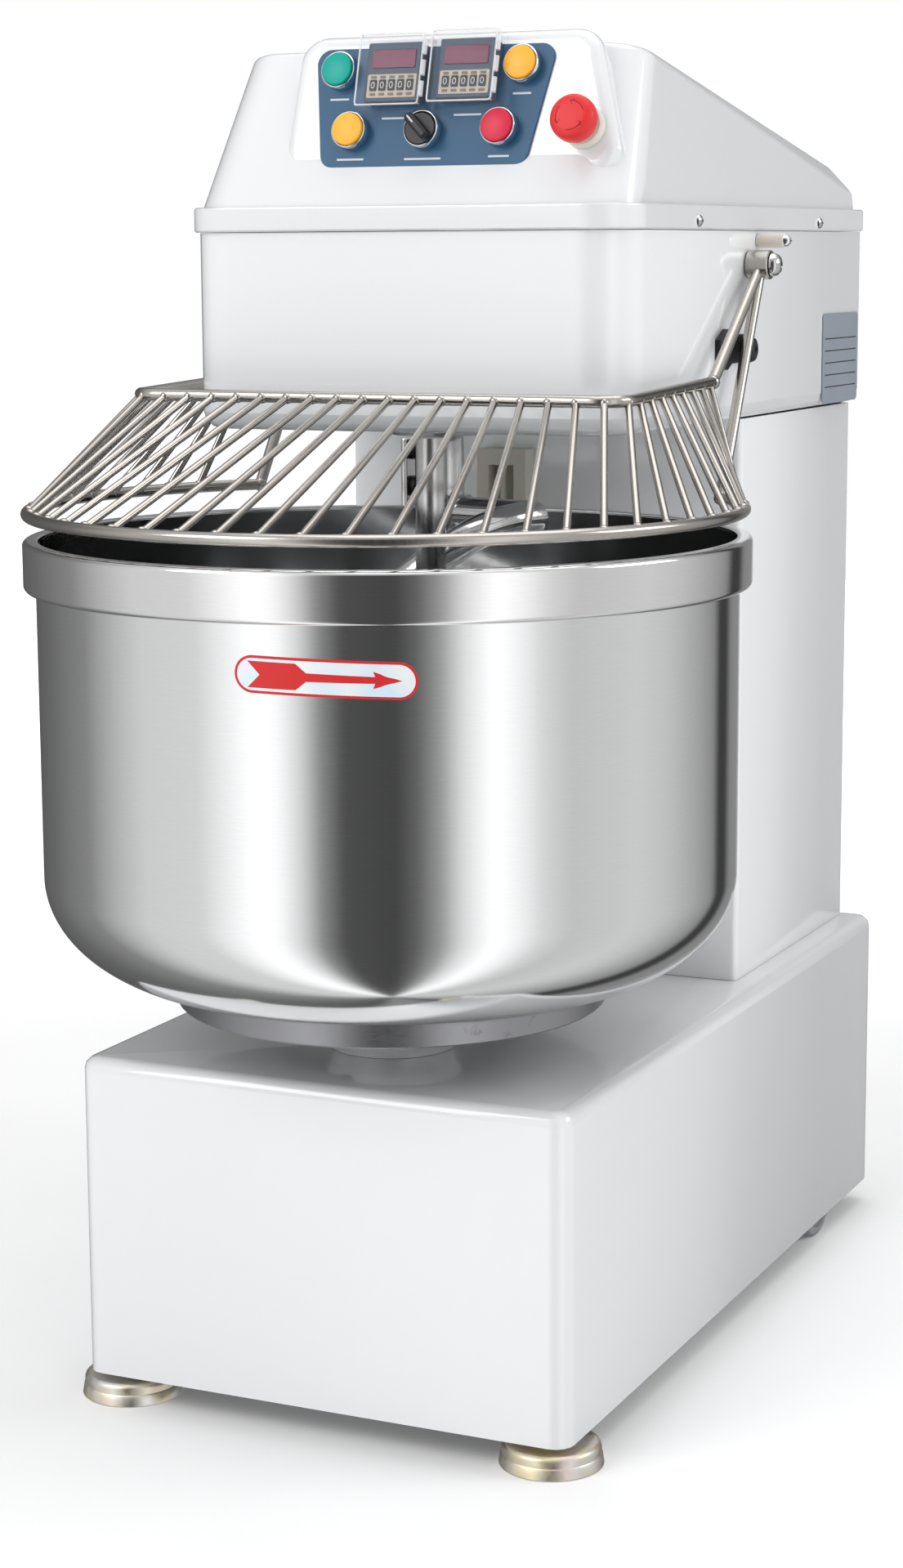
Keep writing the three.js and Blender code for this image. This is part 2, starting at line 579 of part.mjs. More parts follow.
// ---------- feet and wheels ----------
function buildFeetAndWheels() {
  const { x, y, stud, cup, top } = FOOT;
  const rising = [[0, 0], [cup - 5, 0], [cup, 4], [cup, 14], [cup - 5, 19], [20, top]];
  const profile = [...rising, [stud, top], [stud, 70], [0, 70]];
  for (const [name, side] of [['left', -1], ['right', 1]]) {
    add(`${name}_foot`, turned(profile, side * x, y), ZINC);
    const [x0, x1] = [side * (WHEEL.x - WHEEL.half), side * (WHEEL.x + WHEEL.half)].sort((a, b) => a - b);
    const tyre = barAlongX(x0, x1, WHEEL.y, WHEEL.radius, WHEEL.radius, 32);
    const bore = barAlongX(x0 - 1, x1 + 1, WHEEL.y, WHEEL.radius, WHEEL.axle + GAP);
    add(`${name}_wheel`, cut(tyre, bore), material(0x8a8c90, 0.6));
  }
  add('wheel_axle', barAlongX(-210.5, 210.5, WHEEL.y, WHEEL.radius, WHEEL.axle), STEEL);
}

buildBase();
buildColumn();
buildHead();
buildCover();
buildPanel();
buildButtons();
buildEmergencyStop();
buildTimers();
buildBowl();
buildBowlDrive();
buildHook();
buildBreakerBar();
buildRimRoller();
buildGuard();
buildSideFittings();
buildFeetAndWheels();

export default machine;
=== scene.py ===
"""Looks of the spiral dough mixer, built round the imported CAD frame. Metres, +Z up, +Y to the back."""
import math

import bmesh
import bpy
from mathutils import Matrix, Vector


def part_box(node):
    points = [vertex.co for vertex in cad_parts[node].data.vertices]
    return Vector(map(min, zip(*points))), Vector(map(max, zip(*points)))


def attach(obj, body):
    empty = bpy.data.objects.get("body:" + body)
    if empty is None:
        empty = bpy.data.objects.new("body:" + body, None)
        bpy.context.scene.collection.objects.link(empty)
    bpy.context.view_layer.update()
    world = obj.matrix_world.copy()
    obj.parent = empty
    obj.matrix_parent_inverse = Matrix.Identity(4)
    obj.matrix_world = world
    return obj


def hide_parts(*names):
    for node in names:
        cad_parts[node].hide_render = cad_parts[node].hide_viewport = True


MM = 0.001
TAU = 2 * math.pi

# Camera at the picture's viewing angle.
CAMERA_PLACE = (1.0678, -2.3624, 0.932)
CAMERA_YAW, CAMERA_PITCH, CAMERA_ROLL = 24.83, 9.91, -0.33
CAMERA_LENS = 69.97

FACE_TILT = 15  # the control face leans back by this many degrees
SHARP_ANGLE = 34  # CAD edges sharper than this, in degrees, stay edges


def make_camera():
    yaw, pitch, roll = (math.radians(a) for a in (CAMERA_YAW, CAMERA_PITCH, CAMERA_ROLL))
    ahead = Vector((-math.sin(yaw) * math.cos(pitch), math.cos(yaw) * math.cos(pitch), -math.sin(pitch)))
    level = Vector((math.cos(yaw), math.sin(yaw), 0))
    above = level.cross(ahead)
    right = level * math.cos(roll) + above * math.sin(roll)
    up = above * math.cos(roll) - level * math.sin(roll)
    data = bpy.data.cameras.new("camera")
    data.sensor_width = 36
    data.lens = CAMERA_LENS
    camera = bpy.data.objects.new("camera", data)
    bpy.context.collection.objects.link(camera)
    turn = Matrix((right, up, -ahead)).transposed().to_4x4()
    camera.matrix_world = Matrix.Translation(CAMERA_PLACE) @ turn
    bpy.context.scene.camera = camera


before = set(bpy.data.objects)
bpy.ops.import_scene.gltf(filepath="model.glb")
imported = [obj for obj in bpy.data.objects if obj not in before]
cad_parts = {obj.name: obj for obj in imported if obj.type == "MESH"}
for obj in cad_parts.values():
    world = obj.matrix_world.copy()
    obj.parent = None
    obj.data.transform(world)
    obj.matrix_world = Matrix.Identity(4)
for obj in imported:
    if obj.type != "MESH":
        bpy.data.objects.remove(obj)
make_camera()
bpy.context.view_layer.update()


def extent(node):
    """Low and high corners of a CAD node's box."""
    low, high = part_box(node)
    return Vector(low), Vector(high)


def middle(node):
    low, high = extent(node)
    return (low + high) / 2


def facing(place, degrees, about):
    """A local frame at a place, turned about one axis so that its Z points out of that side."""
    return Matrix.Translation(place) @ Matrix.Rotation(math.radians(degrees), 4, about)


def face_matrix(place):
    """A local frame on the leaning control face: X across, Y up the face, Z out."""
    return facing(place, 90 - FACE_TILT, "X")


def smooth(share):
    """Eases from 0 to 1."""
    share = min(max(share, 0), 1)
    return share * share * (3 - 2 * share)


# ---------- materials ----------
def wire(tree, kind, values, **settings):
    """A new node; each value fills a socket, or is linked to it if it is itself a socket."""
    made = tree.nodes.new(kind)
    for key, value in settings.items():
        setattr(made, key, value)
    for socket, value in values.items():
        if isinstance(value, bpy.types.NodeSocket):
            tree.links.new(value, made.inputs[socket])
        else:
            made.inputs[socket].default_value = value
    return made


class Shader:
    """A procedural material: one Principled shader and short ways to feed its sockets."""

    def __init__(self, name, color, rough, metal=0.0, **sockets):
        self.material = bpy.data.materials.new(name)
        self.material.use_nodes = True
        self.tree = self.material.node_tree
        self.out = self.tree.nodes["Principled BSDF"]
        sockets = {"Base Color": (*color, 1), "Roughness": rough, "Metallic": metal, **sockets}
        for socket, value in sockets.items():
            self.out.inputs[socket.replace("_", " ")].default_value = value
        self.place = self.node("ShaderNodeTexCoord", {}).outputs["Object"]

    def node(self, kind, values, **settings):
        return wire(self.tree, kind, values, **settings)

    def feed(self, socket, source):
        self.tree.links.new(source, self.out.inputs[socket])
        return self

    def noise(self, scale, stretch=(1, 1, 1), detail=3, roughness=0.5):
        place = self.node("ShaderNodeMapping", {"Scale": stretch, "Vector": self.place}).outputs["Vector"]
        values = {"Scale": scale, "Detail": detail, "Roughness": roughness, "Vector": place}
        return self.node("ShaderNodeTexNoise", values).outputs["Fac"]

    def remap(self, source, low, high, to_low, to_high):
        values = {"From Min": low, "From Max": high, "To Min": to_low, "To Max": to_high, "Value": source}
        return self.node("ShaderNodeMapRange", values).outputs["Result"]

    def mix(self, factor, first, second):
        """Mixes two colours; sockets 6 and 7 of the Mix node are its colour inputs."""
        first, second = ((*value, 1) if isinstance(value, tuple) else value for value in (first, second))
        values = {"Factor": factor, 6: first, 7: second}
        return self.node("ShaderNodeMix", values, data_type="RGBA").outputs[2]

    def paint(self, source):
        return self.feed("Base Color", source)

    def vary_rough(self, source, low, high):
        return self.feed("Roughness", self.remap(source, 0.3, 0.7, low, high))

    def bump(self, source, strength, distance):
        made = self.node("ShaderNodeBump", {"Strength": strength, "Distance": distance, "Height": source})
        return self.feed("Normal", made.outputs["Normal"])


def enamel(name, color, rough=0.22):
    """Stoved white enamel: a glossy coat, faint clouding of tone and a trace of orange peel."""
    look = Shader(name, color, rough, Coat_Weight=1.0, Coat_Roughness=0.05)
    cloud = look.noise(3, detail=1)
    look.paint(look.mix(cloud, tuple(c * 0.975 for c in color), color))
    look.vary_rough(cloud, rough - 0.015, rough + 0.015)
    return look.bump(look.noise(260, detail=1), 0.03, 0.0002).material


def plain(name, color, rough=0.4, grain=600, depth=0.05, **sockets):
    """Moulded plastic or rubber: fine grain, small changes of tone and gloss."""
    sockets.setdefault("Specular_IOR_Level", 0.3)
    look = Shader(name, color, rough, **sockets)
    tone = look.noise(18, detail=3)
    look.paint(look.mix(tone, tuple(c * 0.93 for c in color), tuple(min(c * 1.04, 1) for c in color)))
    look.vary_rough(tone, max(rough - 0.03, 0.05), rough + 0.04)
    return look.bump(look.noise(grain, detail=1), depth, 0.0002).material


def brushed(name, color, rough, stretch, lines=0.05, spots=0.0):
    """Metal with brush lines, which run across the axis that stretch squeezes most, and dark spots."""
    look = Shader(name, color, rough, 1.0)
    fine = look.noise(90, stretch, detail=5, roughness=0.65)
    tone = look.mix(fine, tuple(c * 0.9 for c in color), tuple(min(c * 1.06, 1) for c in color))
    if spots:
        marks = look.remap(look.noise(45, detail=6, roughness=0.7), 0.6, 0.72, 0.0, spots)
        tone = look.mix(marks, tone, tuple(c * 0.45 for c in color))
    look.paint(tone)
    look.vary_rough(fine, rough * 0.8, rough * 1.25)
    return look.bump(fine, lines, 0.0001).material


def zinc_plating():
    """Passivated zinc: silver with patches of yellow and a pink blush."""
    look = Shader("zinc_plating", (0.74, 0.7, 0.64), 0.3, 1.0)
    gold = look.remap(look.noise(26, detail=3), 0.46, 0.66, 0.0, 0.9)
    blush = look.remap(look.noise(34, detail=2), 0.5, 0.68, 0.0, 0.7)
    tint = look.mix(gold, (0.74, 0.72, 0.68), (0.84, 0.74, 0.44))
    look.paint(look.mix(blush, tint, (0.8, 0.62, 0.55)))
    return look.vary_rough(look.noise(120), 0.3, 0.5).material


def foil_white():
    """White sticker film, its colour mixed with patches of painted sky-blue and pink reflection."""
    look = Shader("white_sticker", (0.78, 0.82, 0.86), 0.22, Coat_Weight=0.5, Coat_Roughness=0.05)
    # painted reflection: sky-blue and pink patches in the colour stand for light the film reflects
    blue = look.remap(look.noise(24, detail=1), 0.4, 0.62, 0.0, 1.0)
    pink = look.remap(look.noise(31, detail=1), 0.52, 0.7, 0.0, 0.8)
    look.paint(look.mix(pink, look.mix(blue, (0.8, 0.83, 0.84), (0.62, 0.78, 0.88)), (0.84, 0.74, 0.84)))
    return look.material


def acrylic(name, color, alpha, shine):
    """Clear plastic, thin enough not to bend what is seen through it."""
    look = Shader(name, color, 0.06, Alpha=alpha, Specular_IOR_Level=shine)
    look.vary_rough(look.noise(25), 0.03, 0.1)
    return look.material


WHITE = enamel("white_enamel", (0.83, 0.845, 0.86))
MOULDED = enamel("moulded_cover", (0.76, 0.775, 0.79), 0.3)
BOWL_STEEL = brushed("bowl_stainless", (0.80, 0.805, 0.81), 0.1, (1, 1, 40), 0.01)
RIM_STEEL = brushed("rim_stainless", (0.80, 0.80, 0.80), 0.1, (1, 1, 30), 0.01)
# painted shade: the guard's steel colour is darkened and warmed to stand for the dark surroundings it
# reflects
SHADED_SATIN_STEEL = brushed("satin_stainless_painted_shade", (0.5, 0.475, 0.44), 0.2, (6, 6, 6), 0.03, 0.25)
POLISHED = brushed("polished_stainless", (0.6, 0.6, 0.6), 0.12, (12, 12, 1), 0.02, 0.15)
MACHINED = brushed("machined_steel", (0.36, 0.36, 0.38), 0.36, (2, 2, 22), 0.15, 0.6)
CHROME = brushed("chrome_plating", (0.8, 0.81, 0.82), 0.06, (1, 1, 1), 0.005)
ZINC = zinc_plating()
BLACK = plain("black_moulding", (0.018, 0.018, 0.02), 0.35)
MOTOR = plain("motor_paint", (0.06, 0.065, 0.07), 0.5, 300, 0.2)
RUBBER = plain("black_rubber", (0.03, 0.03, 0.03), 0.7, 900, 0.3)
GREY_TYRE = plain("grey_tyre", (0.28, 0.29, 0.3), 0.6, 700, 0.2)
NYLON = plain("white_nylon", (0.72, 0.69, 0.61), 0.42, 300, 0.08, Subsurface_Weight=0.1)
BLUE = plain("slate_blue_panel", (0.035, 0.105, 0.2), 0.3, 900, 0.05, Specular_IOR_Level=0.2)
GREY_PLATE = plain("grey_nameplate", (0.24, 0.27, 0.31), 0.4, 900, 0.06)
GREEN = plain("green_cap", (0.0, 0.36, 0.3), 0.35, 500, 0.02)
YELLOW = plain("yellow_cap", (0.93, 0.46, 0.05), 0.35, 500, 0.02)
RED = plain("red_cap", (0.66, 0.02, 0.06), 0.35, 500, 0.02)
STOP_RED = plain("emergency_red", (0.7, 0.028, 0.03), 0.38, 500, 0.02)
# painted shade: the embossed arrows get a darker red that stands for the shade of their relief
SHADED_STOP_RED = plain("embossed_red_painted_shade", (0.36, 0.012, 0.016), 0.45, 500, 0.02)
TIMER = plain("timer_case", (0.06, 0.085, 0.125), 0.4)
BEIGE = plain("beige_keys", (0.52, 0.46, 0.38), 0.45)
KEY_BROWN = plain("brown_keys", (0.2, 0.16, 0.13), 0.45)
DISPLAY = plain("dark_red_display", (0.16, 0.015, 0.06), 0.2)
STICKER = foil_white()
STICKER_RED = plain("sticker_red", (0.62, 0.025, 0.025), 0.3, 300, 0.02)
PRINT = plain("white_print", (0.62, 0.66, 0.7), 0.4)
CLEAR = acrylic("clear_acrylic", (0.6, 0.65, 0.7), 0.035, 0.1)
# painted highlight: whiter, part-opaque acrylic for the lid edges, standing for the light they catch
CLEAR_EDGE_HIGHLIGHT = acrylic("acrylic_edge_highlight", (0.85, 0.87, 0.9), 0.55, 0.6)


# ---------- mesh building: sizes and profiles in millimetres, places in metres ----------
def add_faces(bm, rows, around):
    """Quads between rows of vertices; each row is a closed loop of the same length."""
    for first, second in zip(rows, rows[1:]):
        for k in range(around):
            following = (k + 1) % around
            bm.faces.new((first[k], first[following], second[following], second[k]))


def turn(bm, profile, matrix, segments):
    """A turned shape about local Z from (radius, height) points."""
    rows = []
    for radius, height in profile:
        ring = [Vector((radius * math.cos(TAU * k / segments), radius * math.sin(TAU * k / segments), height))
                for k in range(segments)]
        rows.append([bm.verts.new(matrix @ (point * MM)) for point in ring])
    add_faces(bm, rows, segments)


def tube(bm, points, radius, sides, scale_at=None):
    """A round bar along a list of points, with closed ends; scale_at gives its size along the way."""
    normal = (points[1] - points[0]).orthogonal().normalized()
    turns = [TAU * k / sides for k in range(sides)]
    rows = []
    for i, point in enumerate(points):
        ahead = (points[min(i + 1, len(points) - 1)] - points[max(i - 1, 0)]).normalized()
        normal = (normal - ahead * normal.dot(ahead)).normalized()
        across = ahead.cross(normal)
        size = radius * MM * (scale_at(i / (len(points) - 1)) if scale_at else 1)
        offsets = [normal * math.cos(angle) + across * math.sin(angle) for angle in turns]
        rows.append([bm.verts.new(point + offset * size) for offset in offsets])
    add_faces(bm, rows, sides)
    bm.faces.new(rows[0][::-1])
    bm.faces.new(rows[-1])


def hull(bm, points):
    """The convex shape round the points."""
    verts = [bm.verts.new(p) for p in points]
    result = bmesh.ops.convex_hull(bm, input=verts)
    spare = [v for v in set(result["geom_interior"]) | set(result["geom_unused"])
             if isinstance(v, bmesh.types.BMVert) and v.is_valid and not v.link_faces]
    bmesh.ops.delete(bm, geom=spare, context="VERTS")


def rounded_outline(low, high, corners, steps):
    """Points round a rectangle; corners are the radii from front left, anticlockwise seen from above."""
    (x0, y0), (x1, y1) = low, high
    places = ((x0, y0, 1, 1, 180), (x1, y0, -1, 1, 270), (x1, y1, -1, -1, 0), (x0, y1, 1, -1, 90))
    for (x, y, side_x, side_y, start), radius in zip(places, corners):
        for i in range(steps + 1):
            angle = math.radians(start + 90 * i / steps)
            yield x + radius * (side_x + math.cos(angle)), y + radius * (side_y + math.sin(angle))


def edge_steps(edge, count):
    """Inset and drop at points up a rounded edge, from its foot to its top."""
    for k in range(count + 1):
        angle = math.radians(90 / count * k)
        yield edge * (1 - math.cos(angle)), edge * (1 - math.sin(angle))


def plate_points(matrix, corners, radius, rim):
    """Points round a plate with four round corners, given as x, v and start angle in mm and degrees.

    The rim lists pairs: the reach from a corner's centre, and the height.
    """
    for x, v, start in corners:
        side_x, side_v = (1 if start in (90, 180) else -1), (1 if start >= 180 else -1)
        cx, cv = x * MM + side_x * radius, v * MM + side_v * radius
        for i in range(13):
            angle = math.radians(start + 7.5 * i)
            for reach, height in rim:
                yield matrix @ Vector((cx + reach * math.cos(angle), cv + reach * math.sin(angle), height))


def pad(bm, size, corner, edge, matrix, steps=6):
    """A rounded slab on local Z = 0, with a round upper edge."""
    width, depth, height = (length * MM for length in size)
    points = []
    foot, *rest = [(inset, height - drop) for inset, drop in edge_steps(edge * MM, 4)]
    for inset, level in (foot, (0.0, 0.0), *rest):
        low, high = (-width / 2 + inset, -depth / 2 + inset), (width / 2 - inset, depth / 2 - inset)
        radii = [max(corner * MM - inset, 1e-4)] * 4
        points += [matrix @ Vector((x, y, level)) for x, y in rounded_outline(low, high, radii, steps)]
    hull(bm, points)


def piece(name, bm, look, body, replaces=(), sharp=35, weighted=False):
    """Turns a bmesh into a piece of the model that rides on a body."""
    bmesh.ops.remove_doubles(bm, verts=bm.verts, dist=1e-6)
    bmesh.ops.recalc_face_normals(bm, faces=bm.faces)
    mesh = bpy.data.meshes.new(name)
    bm.to_mesh(mesh)
    bm.free()
    mesh.shade_smooth()
    mesh.set_sharp_from_angle(angle=math.radians(sharp))
    made = bpy.data.objects.new(name, mesh)
    bpy.context.collection.objects.link(made)
    mesh.materials.append(look)
    if weighted:
        made.modifiers.new("weighted", "WEIGHTED_NORMAL").keep_sharp = True
    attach(made, body)
    if replaces:
        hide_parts(*([replaces] if isinstance(replaces, str) else replaces))
    return made


def refined(node, look, body, bevel):
    """The CAD shape with clean flats, bevelled edges and smooth corners."""
    bm = bmesh.new()
    bm.from_mesh(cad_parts[node].data)
    bmesh.ops.remove_doubles(bm, verts=bm.verts, dist=2e-6)
    bmesh.ops.dissolve_limit(bm, angle_limit=math.radians(1), verts=bm.verts, edges=bm.edges)
    made = piece(node + "_shape", bm, look, body, node, SHARP_ANGLE)
    edge = made.modifiers.new("edges", "BEVEL")
    edge.width = bevel * MM
    edge.segments = 3
    edge.limit_method = "ANGLE"
    edge.angle_limit = math.radians(SHARP_ANGLE)
    edge.harden_normals = True


def arc(cx, cy, radius, start, end, steps):
    """Profile points on an arc, angles in degrees."""
    for i in range(steps + 1):
        angle = math.radians(start + (end - start) * i / steps)
        yield (cx + radius * math.cos(angle), cy + radius * math.sin(angle))


# ---------- casings ----------
def make_casings():
    refined("base_housing", WHITE, "frame", 1.0)
    refined("column_housing", WHITE, "frame", 1.5)
    refined("head_housing", WHITE, "frame", 1.0)
    make_cover()
    make_rear_panel()
    make_nameplate()


# The cover's outline at rising heights, in millimetres.
SKIRT_CORNERS = (42, 10)
SKIRT_ROWS = ((1.5, 0), (0, 1.5), (0, 18), (0.6, 19.3), (2, 20))  # inset, height
WALL_ROWS = (  # inset at the sides, height, inset in front, front and back corners
    (6.5, 19, 4, 42, 16), (7.5, 34, 15, 44, 17), (9.5, 39, 22.5, 42, 20))
ROOF_FALL = 88 / 505  # drop for each unit towards the back


def make_cover():
    """Moulded cover: skirt, low wall, leaning front with soft shoulders and a roof that falls to the back."""
    low, high = extent("top_cover")
    half, front, back, bottom = high.x, low.y, high.y, low.z
    shoulder_y, shoulder_z = front + 81 * MM, bottom + 144.6 * MM

    def level_row(insets, corners, height):
        side, ahead, behind = insets
        edges = ((-half + side * MM, front + ahead * MM), (half - side * MM, back - behind * MM))
        radii = [corners[0] * MM] * 2 + [corners[1] * MM] * 2
        return [(x, y, bottom + height * MM) for x, y in rounded_outline(*edges, radii, 14)]

    bm = bmesh.new()
    points = []
    for inset, height in SKIRT_ROWS:
        points += level_row((inset, inset, inset), [corner - inset for corner in SKIRT_CORNERS], height)
    hull(bm, points)
    points = []
    for inset, height, ahead, *corners in WALL_ROWS:
        points += level_row((inset, ahead, inset - 1), corners, height)
    for inset, drop in edge_steps(8 * MM, 5):
        low_corner = (-half + 19.5 * MM + inset, front + 71 * MM + inset)
        high_corner = (half - 19.5 * MM - inset, back - 18.5 * MM - inset)
        radii = [40 * MM - inset] * 2 + [28 * MM - inset] * 2
        for x, y in rounded_outline(low_corner, high_corner, radii, 16):
            points.append((x, y, shoulder_z - (y - shoulder_y) * ROOF_FALL - drop))
    hull(bm, points)
    piece("cover_moulding", bm, MOULDED, "frame", "top_cover", 30, True)
    make_pod()
    make_cover_screws(half, front, bottom)


POD_CORNERS = ((-112, 0, 180), (180, 0, 270), (158, 119, 0), (-108, 119, 90))  # x, up the face, start angle
POD_ROOT = ((-108, 10), (174, 10), (154, 75), (-104, 75))
POD_DEPTH = 100 * MM


def make_pod():
    """Raised rounded block for the controls, rooted inside the cover."""
    low, _ = extent("top_cover")
    lean = face_matrix((0, low.y + 21 * MM, low.z + 41.6 * MM))
    round_corner = 24 * MM
    rim = [(round_corner - inset, -drop) for inset, drop in edge_steps(10 * MM, 5)]
    points = list(plate_points(lean, POD_CORNERS, round_corner, rim))
    points += [lean @ Vector((x * MM, v * MM, -POD_DEPTH)) for x, v in POD_ROOT]
    bm = bmesh.new()
    hull(bm, points)
    piece("control_pod", bm, MOULDED, "frame", (), 30, True)


def pan_head(bm, matrix, radius, height):
    """Domed screw head with a raised cross."""
    profile = [(0, height), (radius * 0.55, height * 0.9), (radius * 0.9, height * 0.5), (radius, 0), (0, 0)]
    turn(bm, profile, matrix, 24)
    for angle in (0, 90):
        turned = matrix @ Matrix.Rotation(math.radians(angle), 4, "Z")
        bar = turned @ Matrix.Translation((0, 0, height * 0.82 * MM))
        pad(bm, (radius * 1.1, radius * 0.22, height * 0.22), radius * 0.05, radius * 0.03, bar, 2)


def make_cover_screws(half, front, bottom):
    bm = bmesh.new()
    for side in (-1, 1):
        for along in (158, 471):
            place = (side * half, front + along * MM, bottom + 7 * MM)
            pan_head(bm, facing(place, side * 90, "Y"), 5, 3.2)
    piece("cover_screws", bm, POLISHED, "frame")


def make_rear_panel():
    """Rear panel with nine louvres and six screws."""
    low, high = extent("rear_panel")
    centre, size = (low + high) / 2, (high - low) / MM
    bm = bmesh.new()
    pad(bm, (size.x, size.z, size.y), 8, 1, facing((centre.x, low.y, centre.z), -90, "X"))
    for row in range(9):
        height = (100 + 14 * row) * MM
        louvre = facing((0, high.y - 0.5 * MM, centre.z + height), -90, "X")
        pad(bm, (180, 5, 3), 2, 1.5, louvre)
    piece("rear_panel_shape", bm, WHITE, "frame", "rear_panel", 30, True)
    screws = bmesh.new()
    for x in (-135, 135):
        for z in (-205, 0, 205):
            pan_head(screws, facing((x * MM, high.y, centre.z + z * MM), -90, "X"), 4, 2.5)
    piece("rear_panel_screws", screws, CHROME, "frame")


def make_nameplate():
    """Grey plate with five plain rules."""
    low, high = extent("nameplate")
    centre, size = (low + high) / 2, (high - low) / MM
    thick = size.x * 0.8
    matrix = facing((low.x, centre.y, centre.z), 90, "Y")
    bm = bmesh.new()
    pad(bm, (size.z, size.y, thick), 5, 0.3, matrix)
    piece("nameplate_shape", bm, GREY_PLATE, "frame", "nameplate")
    lines = bmesh.new()
    for row in range(5):
        place = matrix @ Matrix.Translation(((-18 + 11 * row) * MM, 0, thick * MM))
        pad(lines, (0.9, size.y - 12, 0.15), 0.3, 0.05, place, 2)
    piece("nameplate_rules", lines, BLACK, "frame")


# ---------- controls ----------
def turned_piece(name, profile, matrix, segments, look, body, node, sharp=40):
    """A piece that is one turned shape."""
    bm = bmesh.new()
    turn(bm, profile, matrix, segments)
    piece(name, bm, look, body, node, sharp)


def bezel(name, node):
    """Plated ring: a plain round side and a thin bright lip round the cap."""
    half = 4.85
    profile = [(13.5, -half), (15, -half), (15, half - 0.9), (14.7, half - 0.3), (14.2, half),
               (13.8, half - 0.1), (13.5, half - 0.6), (13.5, -half)]
    turned_piece(name + "_ring", profile, face_matrix(middle(node)), 72, CHROME, "frame", node)


CAP_PROFILE = ((0, -2.5), (13.1, -2.5), (13.1, 1.6), (12.8, 2.2), (12.2, 2.5), (0, 2.5))


def make_controls():
    make_panel()
    for name, look in (("slow", GREEN), ("high", YELLOW), ("reverse", YELLOW), ("stop", RED)):
        bezel(name, name + "_bezel")
        node = name + "_button"
        matrix = face_matrix(middle(node))
        turned_piece(name + "_cap_shape", CAP_PROFILE, matrix, 64, look, name + "_cap", node, 50)
    bezel("selector", "selector_bezel")
    make_selector()
    make_emergency_stop()
    for side in ("left", "right"):
        make_timer(side + "_timer", side + "_timer_lid")


PANEL_CORNERS = ((-93, -48.5, 180), (90, -48.5, 270), (104, 48.5, 0), (-104, 49, 90))  # as POD_CORNERS
PANEL_BARS = (  # plain bars in place of lettering: node, how far below its middle, width
    ("slow_bezel", 22, 17), ("high_bezel", 22, 16), ("reverse_bezel", 22, 24), ("selector_bezel", 22, 32),
    ("stop_bezel", 22, 18), ("left_timer", 34, 24), ("right_timer", 34, 24))


def make_panel():
    """Blue panel with a plain bar for each word."""
    matrix = face_matrix(middle("control_panel"))
    radius, half_thick = 12 * MM, 0.85 * MM
    rim = ((radius, -half_thick), (radius, 0.5 * MM), (radius - 0.4 * MM, half_thick))
    bm = bmesh.new()
    hull(bm, plate_points(matrix, PANEL_CORNERS, radius, rim))
    piece("panel_plate", bm, BLUE, "frame", "control_panel", 35, True)
    bars = bmesh.new()
    for node, below, width in PANEL_BARS:
        offset = matrix.inverted() @ middle(node)
        spot = matrix @ Matrix.Translation((offset.x, offset.y - below * MM, half_thick))
        pad(bars, (width, 1.6, 0.12), 0.6, 0.05, spot, 3)
    piece("panel_print", bars, PRINT, "frame")


def make_selector():
    """Round knob with a raised lever and a white pointer line."""
    matrix = face_matrix(middle("selector_knob"))
    base = -9.85
    bm = bmesh.new()
    turn(bm, [(0, base), (13.1, base), (13.1, base + 9.3), (12.4, base + 10.2), (0, base + 10.4)], matrix, 64)
    lever = matrix @ Matrix.Rotation(math.radians(45), 4, "Z") @ Matrix.Translation((0, 0, (base + 9.8) * MM))
    pad(bm, (8, 26.6, 9.8), 3.5, 2.5, lever, 8)
    piece("selector_shape", bm, BLACK, "selector", "selector_knob", 40, True)
    line = bmesh.new()
    pointer = lever @ Matrix.Translation((0, 7 * MM, 9.8 * MM))
    pad(line, (1.2, 8, 0.2), 0.5, 0.05, pointer, 3)
    piece("selector_line", line, PRINT, "selector")


def make_emergency_stop():
    """Collar and mushroom head, with three embossed arrows round its top, coloured darker red as painted
    shade.
    """
    collar = [(8.6, -4.3), (17, -4.3), (17, 2.8), (15.5, 4.3), (9.5, 4.3), (8.6, 3.5), (8.6, -4.3)]
    place = face_matrix(middle("estop_collar"))
    turned_piece("estop_collar_shape", collar, place, 72, NYLON, "frame", "estop_collar")
    matrix = face_matrix(middle("estop_head"))
    head = [(0, -9), (12, -9), (13, -8.6), (17.6, -6.5), (18.3, -4), (18.5, 0), (18.1, 4), (16.8, 6.8),
            (14.4, 8.4), (10.5, 9), (0, 9)]
    turned_piece("estop_head_shape", head, matrix, 72, STOP_RED, "estop_mushroom", "estop_head")
    arrows = bmesh.new()
    bend = [Vector(point) for point in arc(0, 0, 11.4, 0, 72, 12)]
    tip = bend[-1]
    for k in range(3):
        around = matrix @ Matrix.Rotation(math.radians(120 * k + 20), 4, "Z")
        for line in (bend, (tip, tip + Vector((3.4, -0.4))), (tip, tip + Vector((0.6, -3.4)))):
            tube(arrows, [around @ Vector((x * MM, y * MM, 8.5 * MM)) for x, y in line], 0.6, 8)
    piece("estop_arrows", arrows, SHADED_STOP_RED, "estop_mushroom")


DIGIT_COLUMNS = tuple(8 * k for k in range(-2, 3))
TIMER_CASE = 12  # depth of a timer's case, in millimetres
TIMER_PARTS = (  # name, look, places, size, corner, upper edge, steps of each corner; millimetres
    ("_keys", BEIGE, ((0, -11.5, TIMER_CASE),), (43, 19, 0.8), 1.2, 0.3, 6),
    ("_key_tops", KEY_BROWN, tuple((x, y, 12.8) for x in DIGIT_COLUMNS for y in (-18.4, -4.4)),
     (5, 2, 0.6), 0.8, 0.2, 3),
    ("_screen", DISPLAY, ((0, 10.5, TIMER_CASE),), (38, 15, 0.9), 1.2, 0.3, 6),
    ("_wheels", BLACK, tuple((x, -11, 12.8) for x in DIGIT_COLUMNS), (6, 9, 0.8), 0.8, 0.3, 3),
)


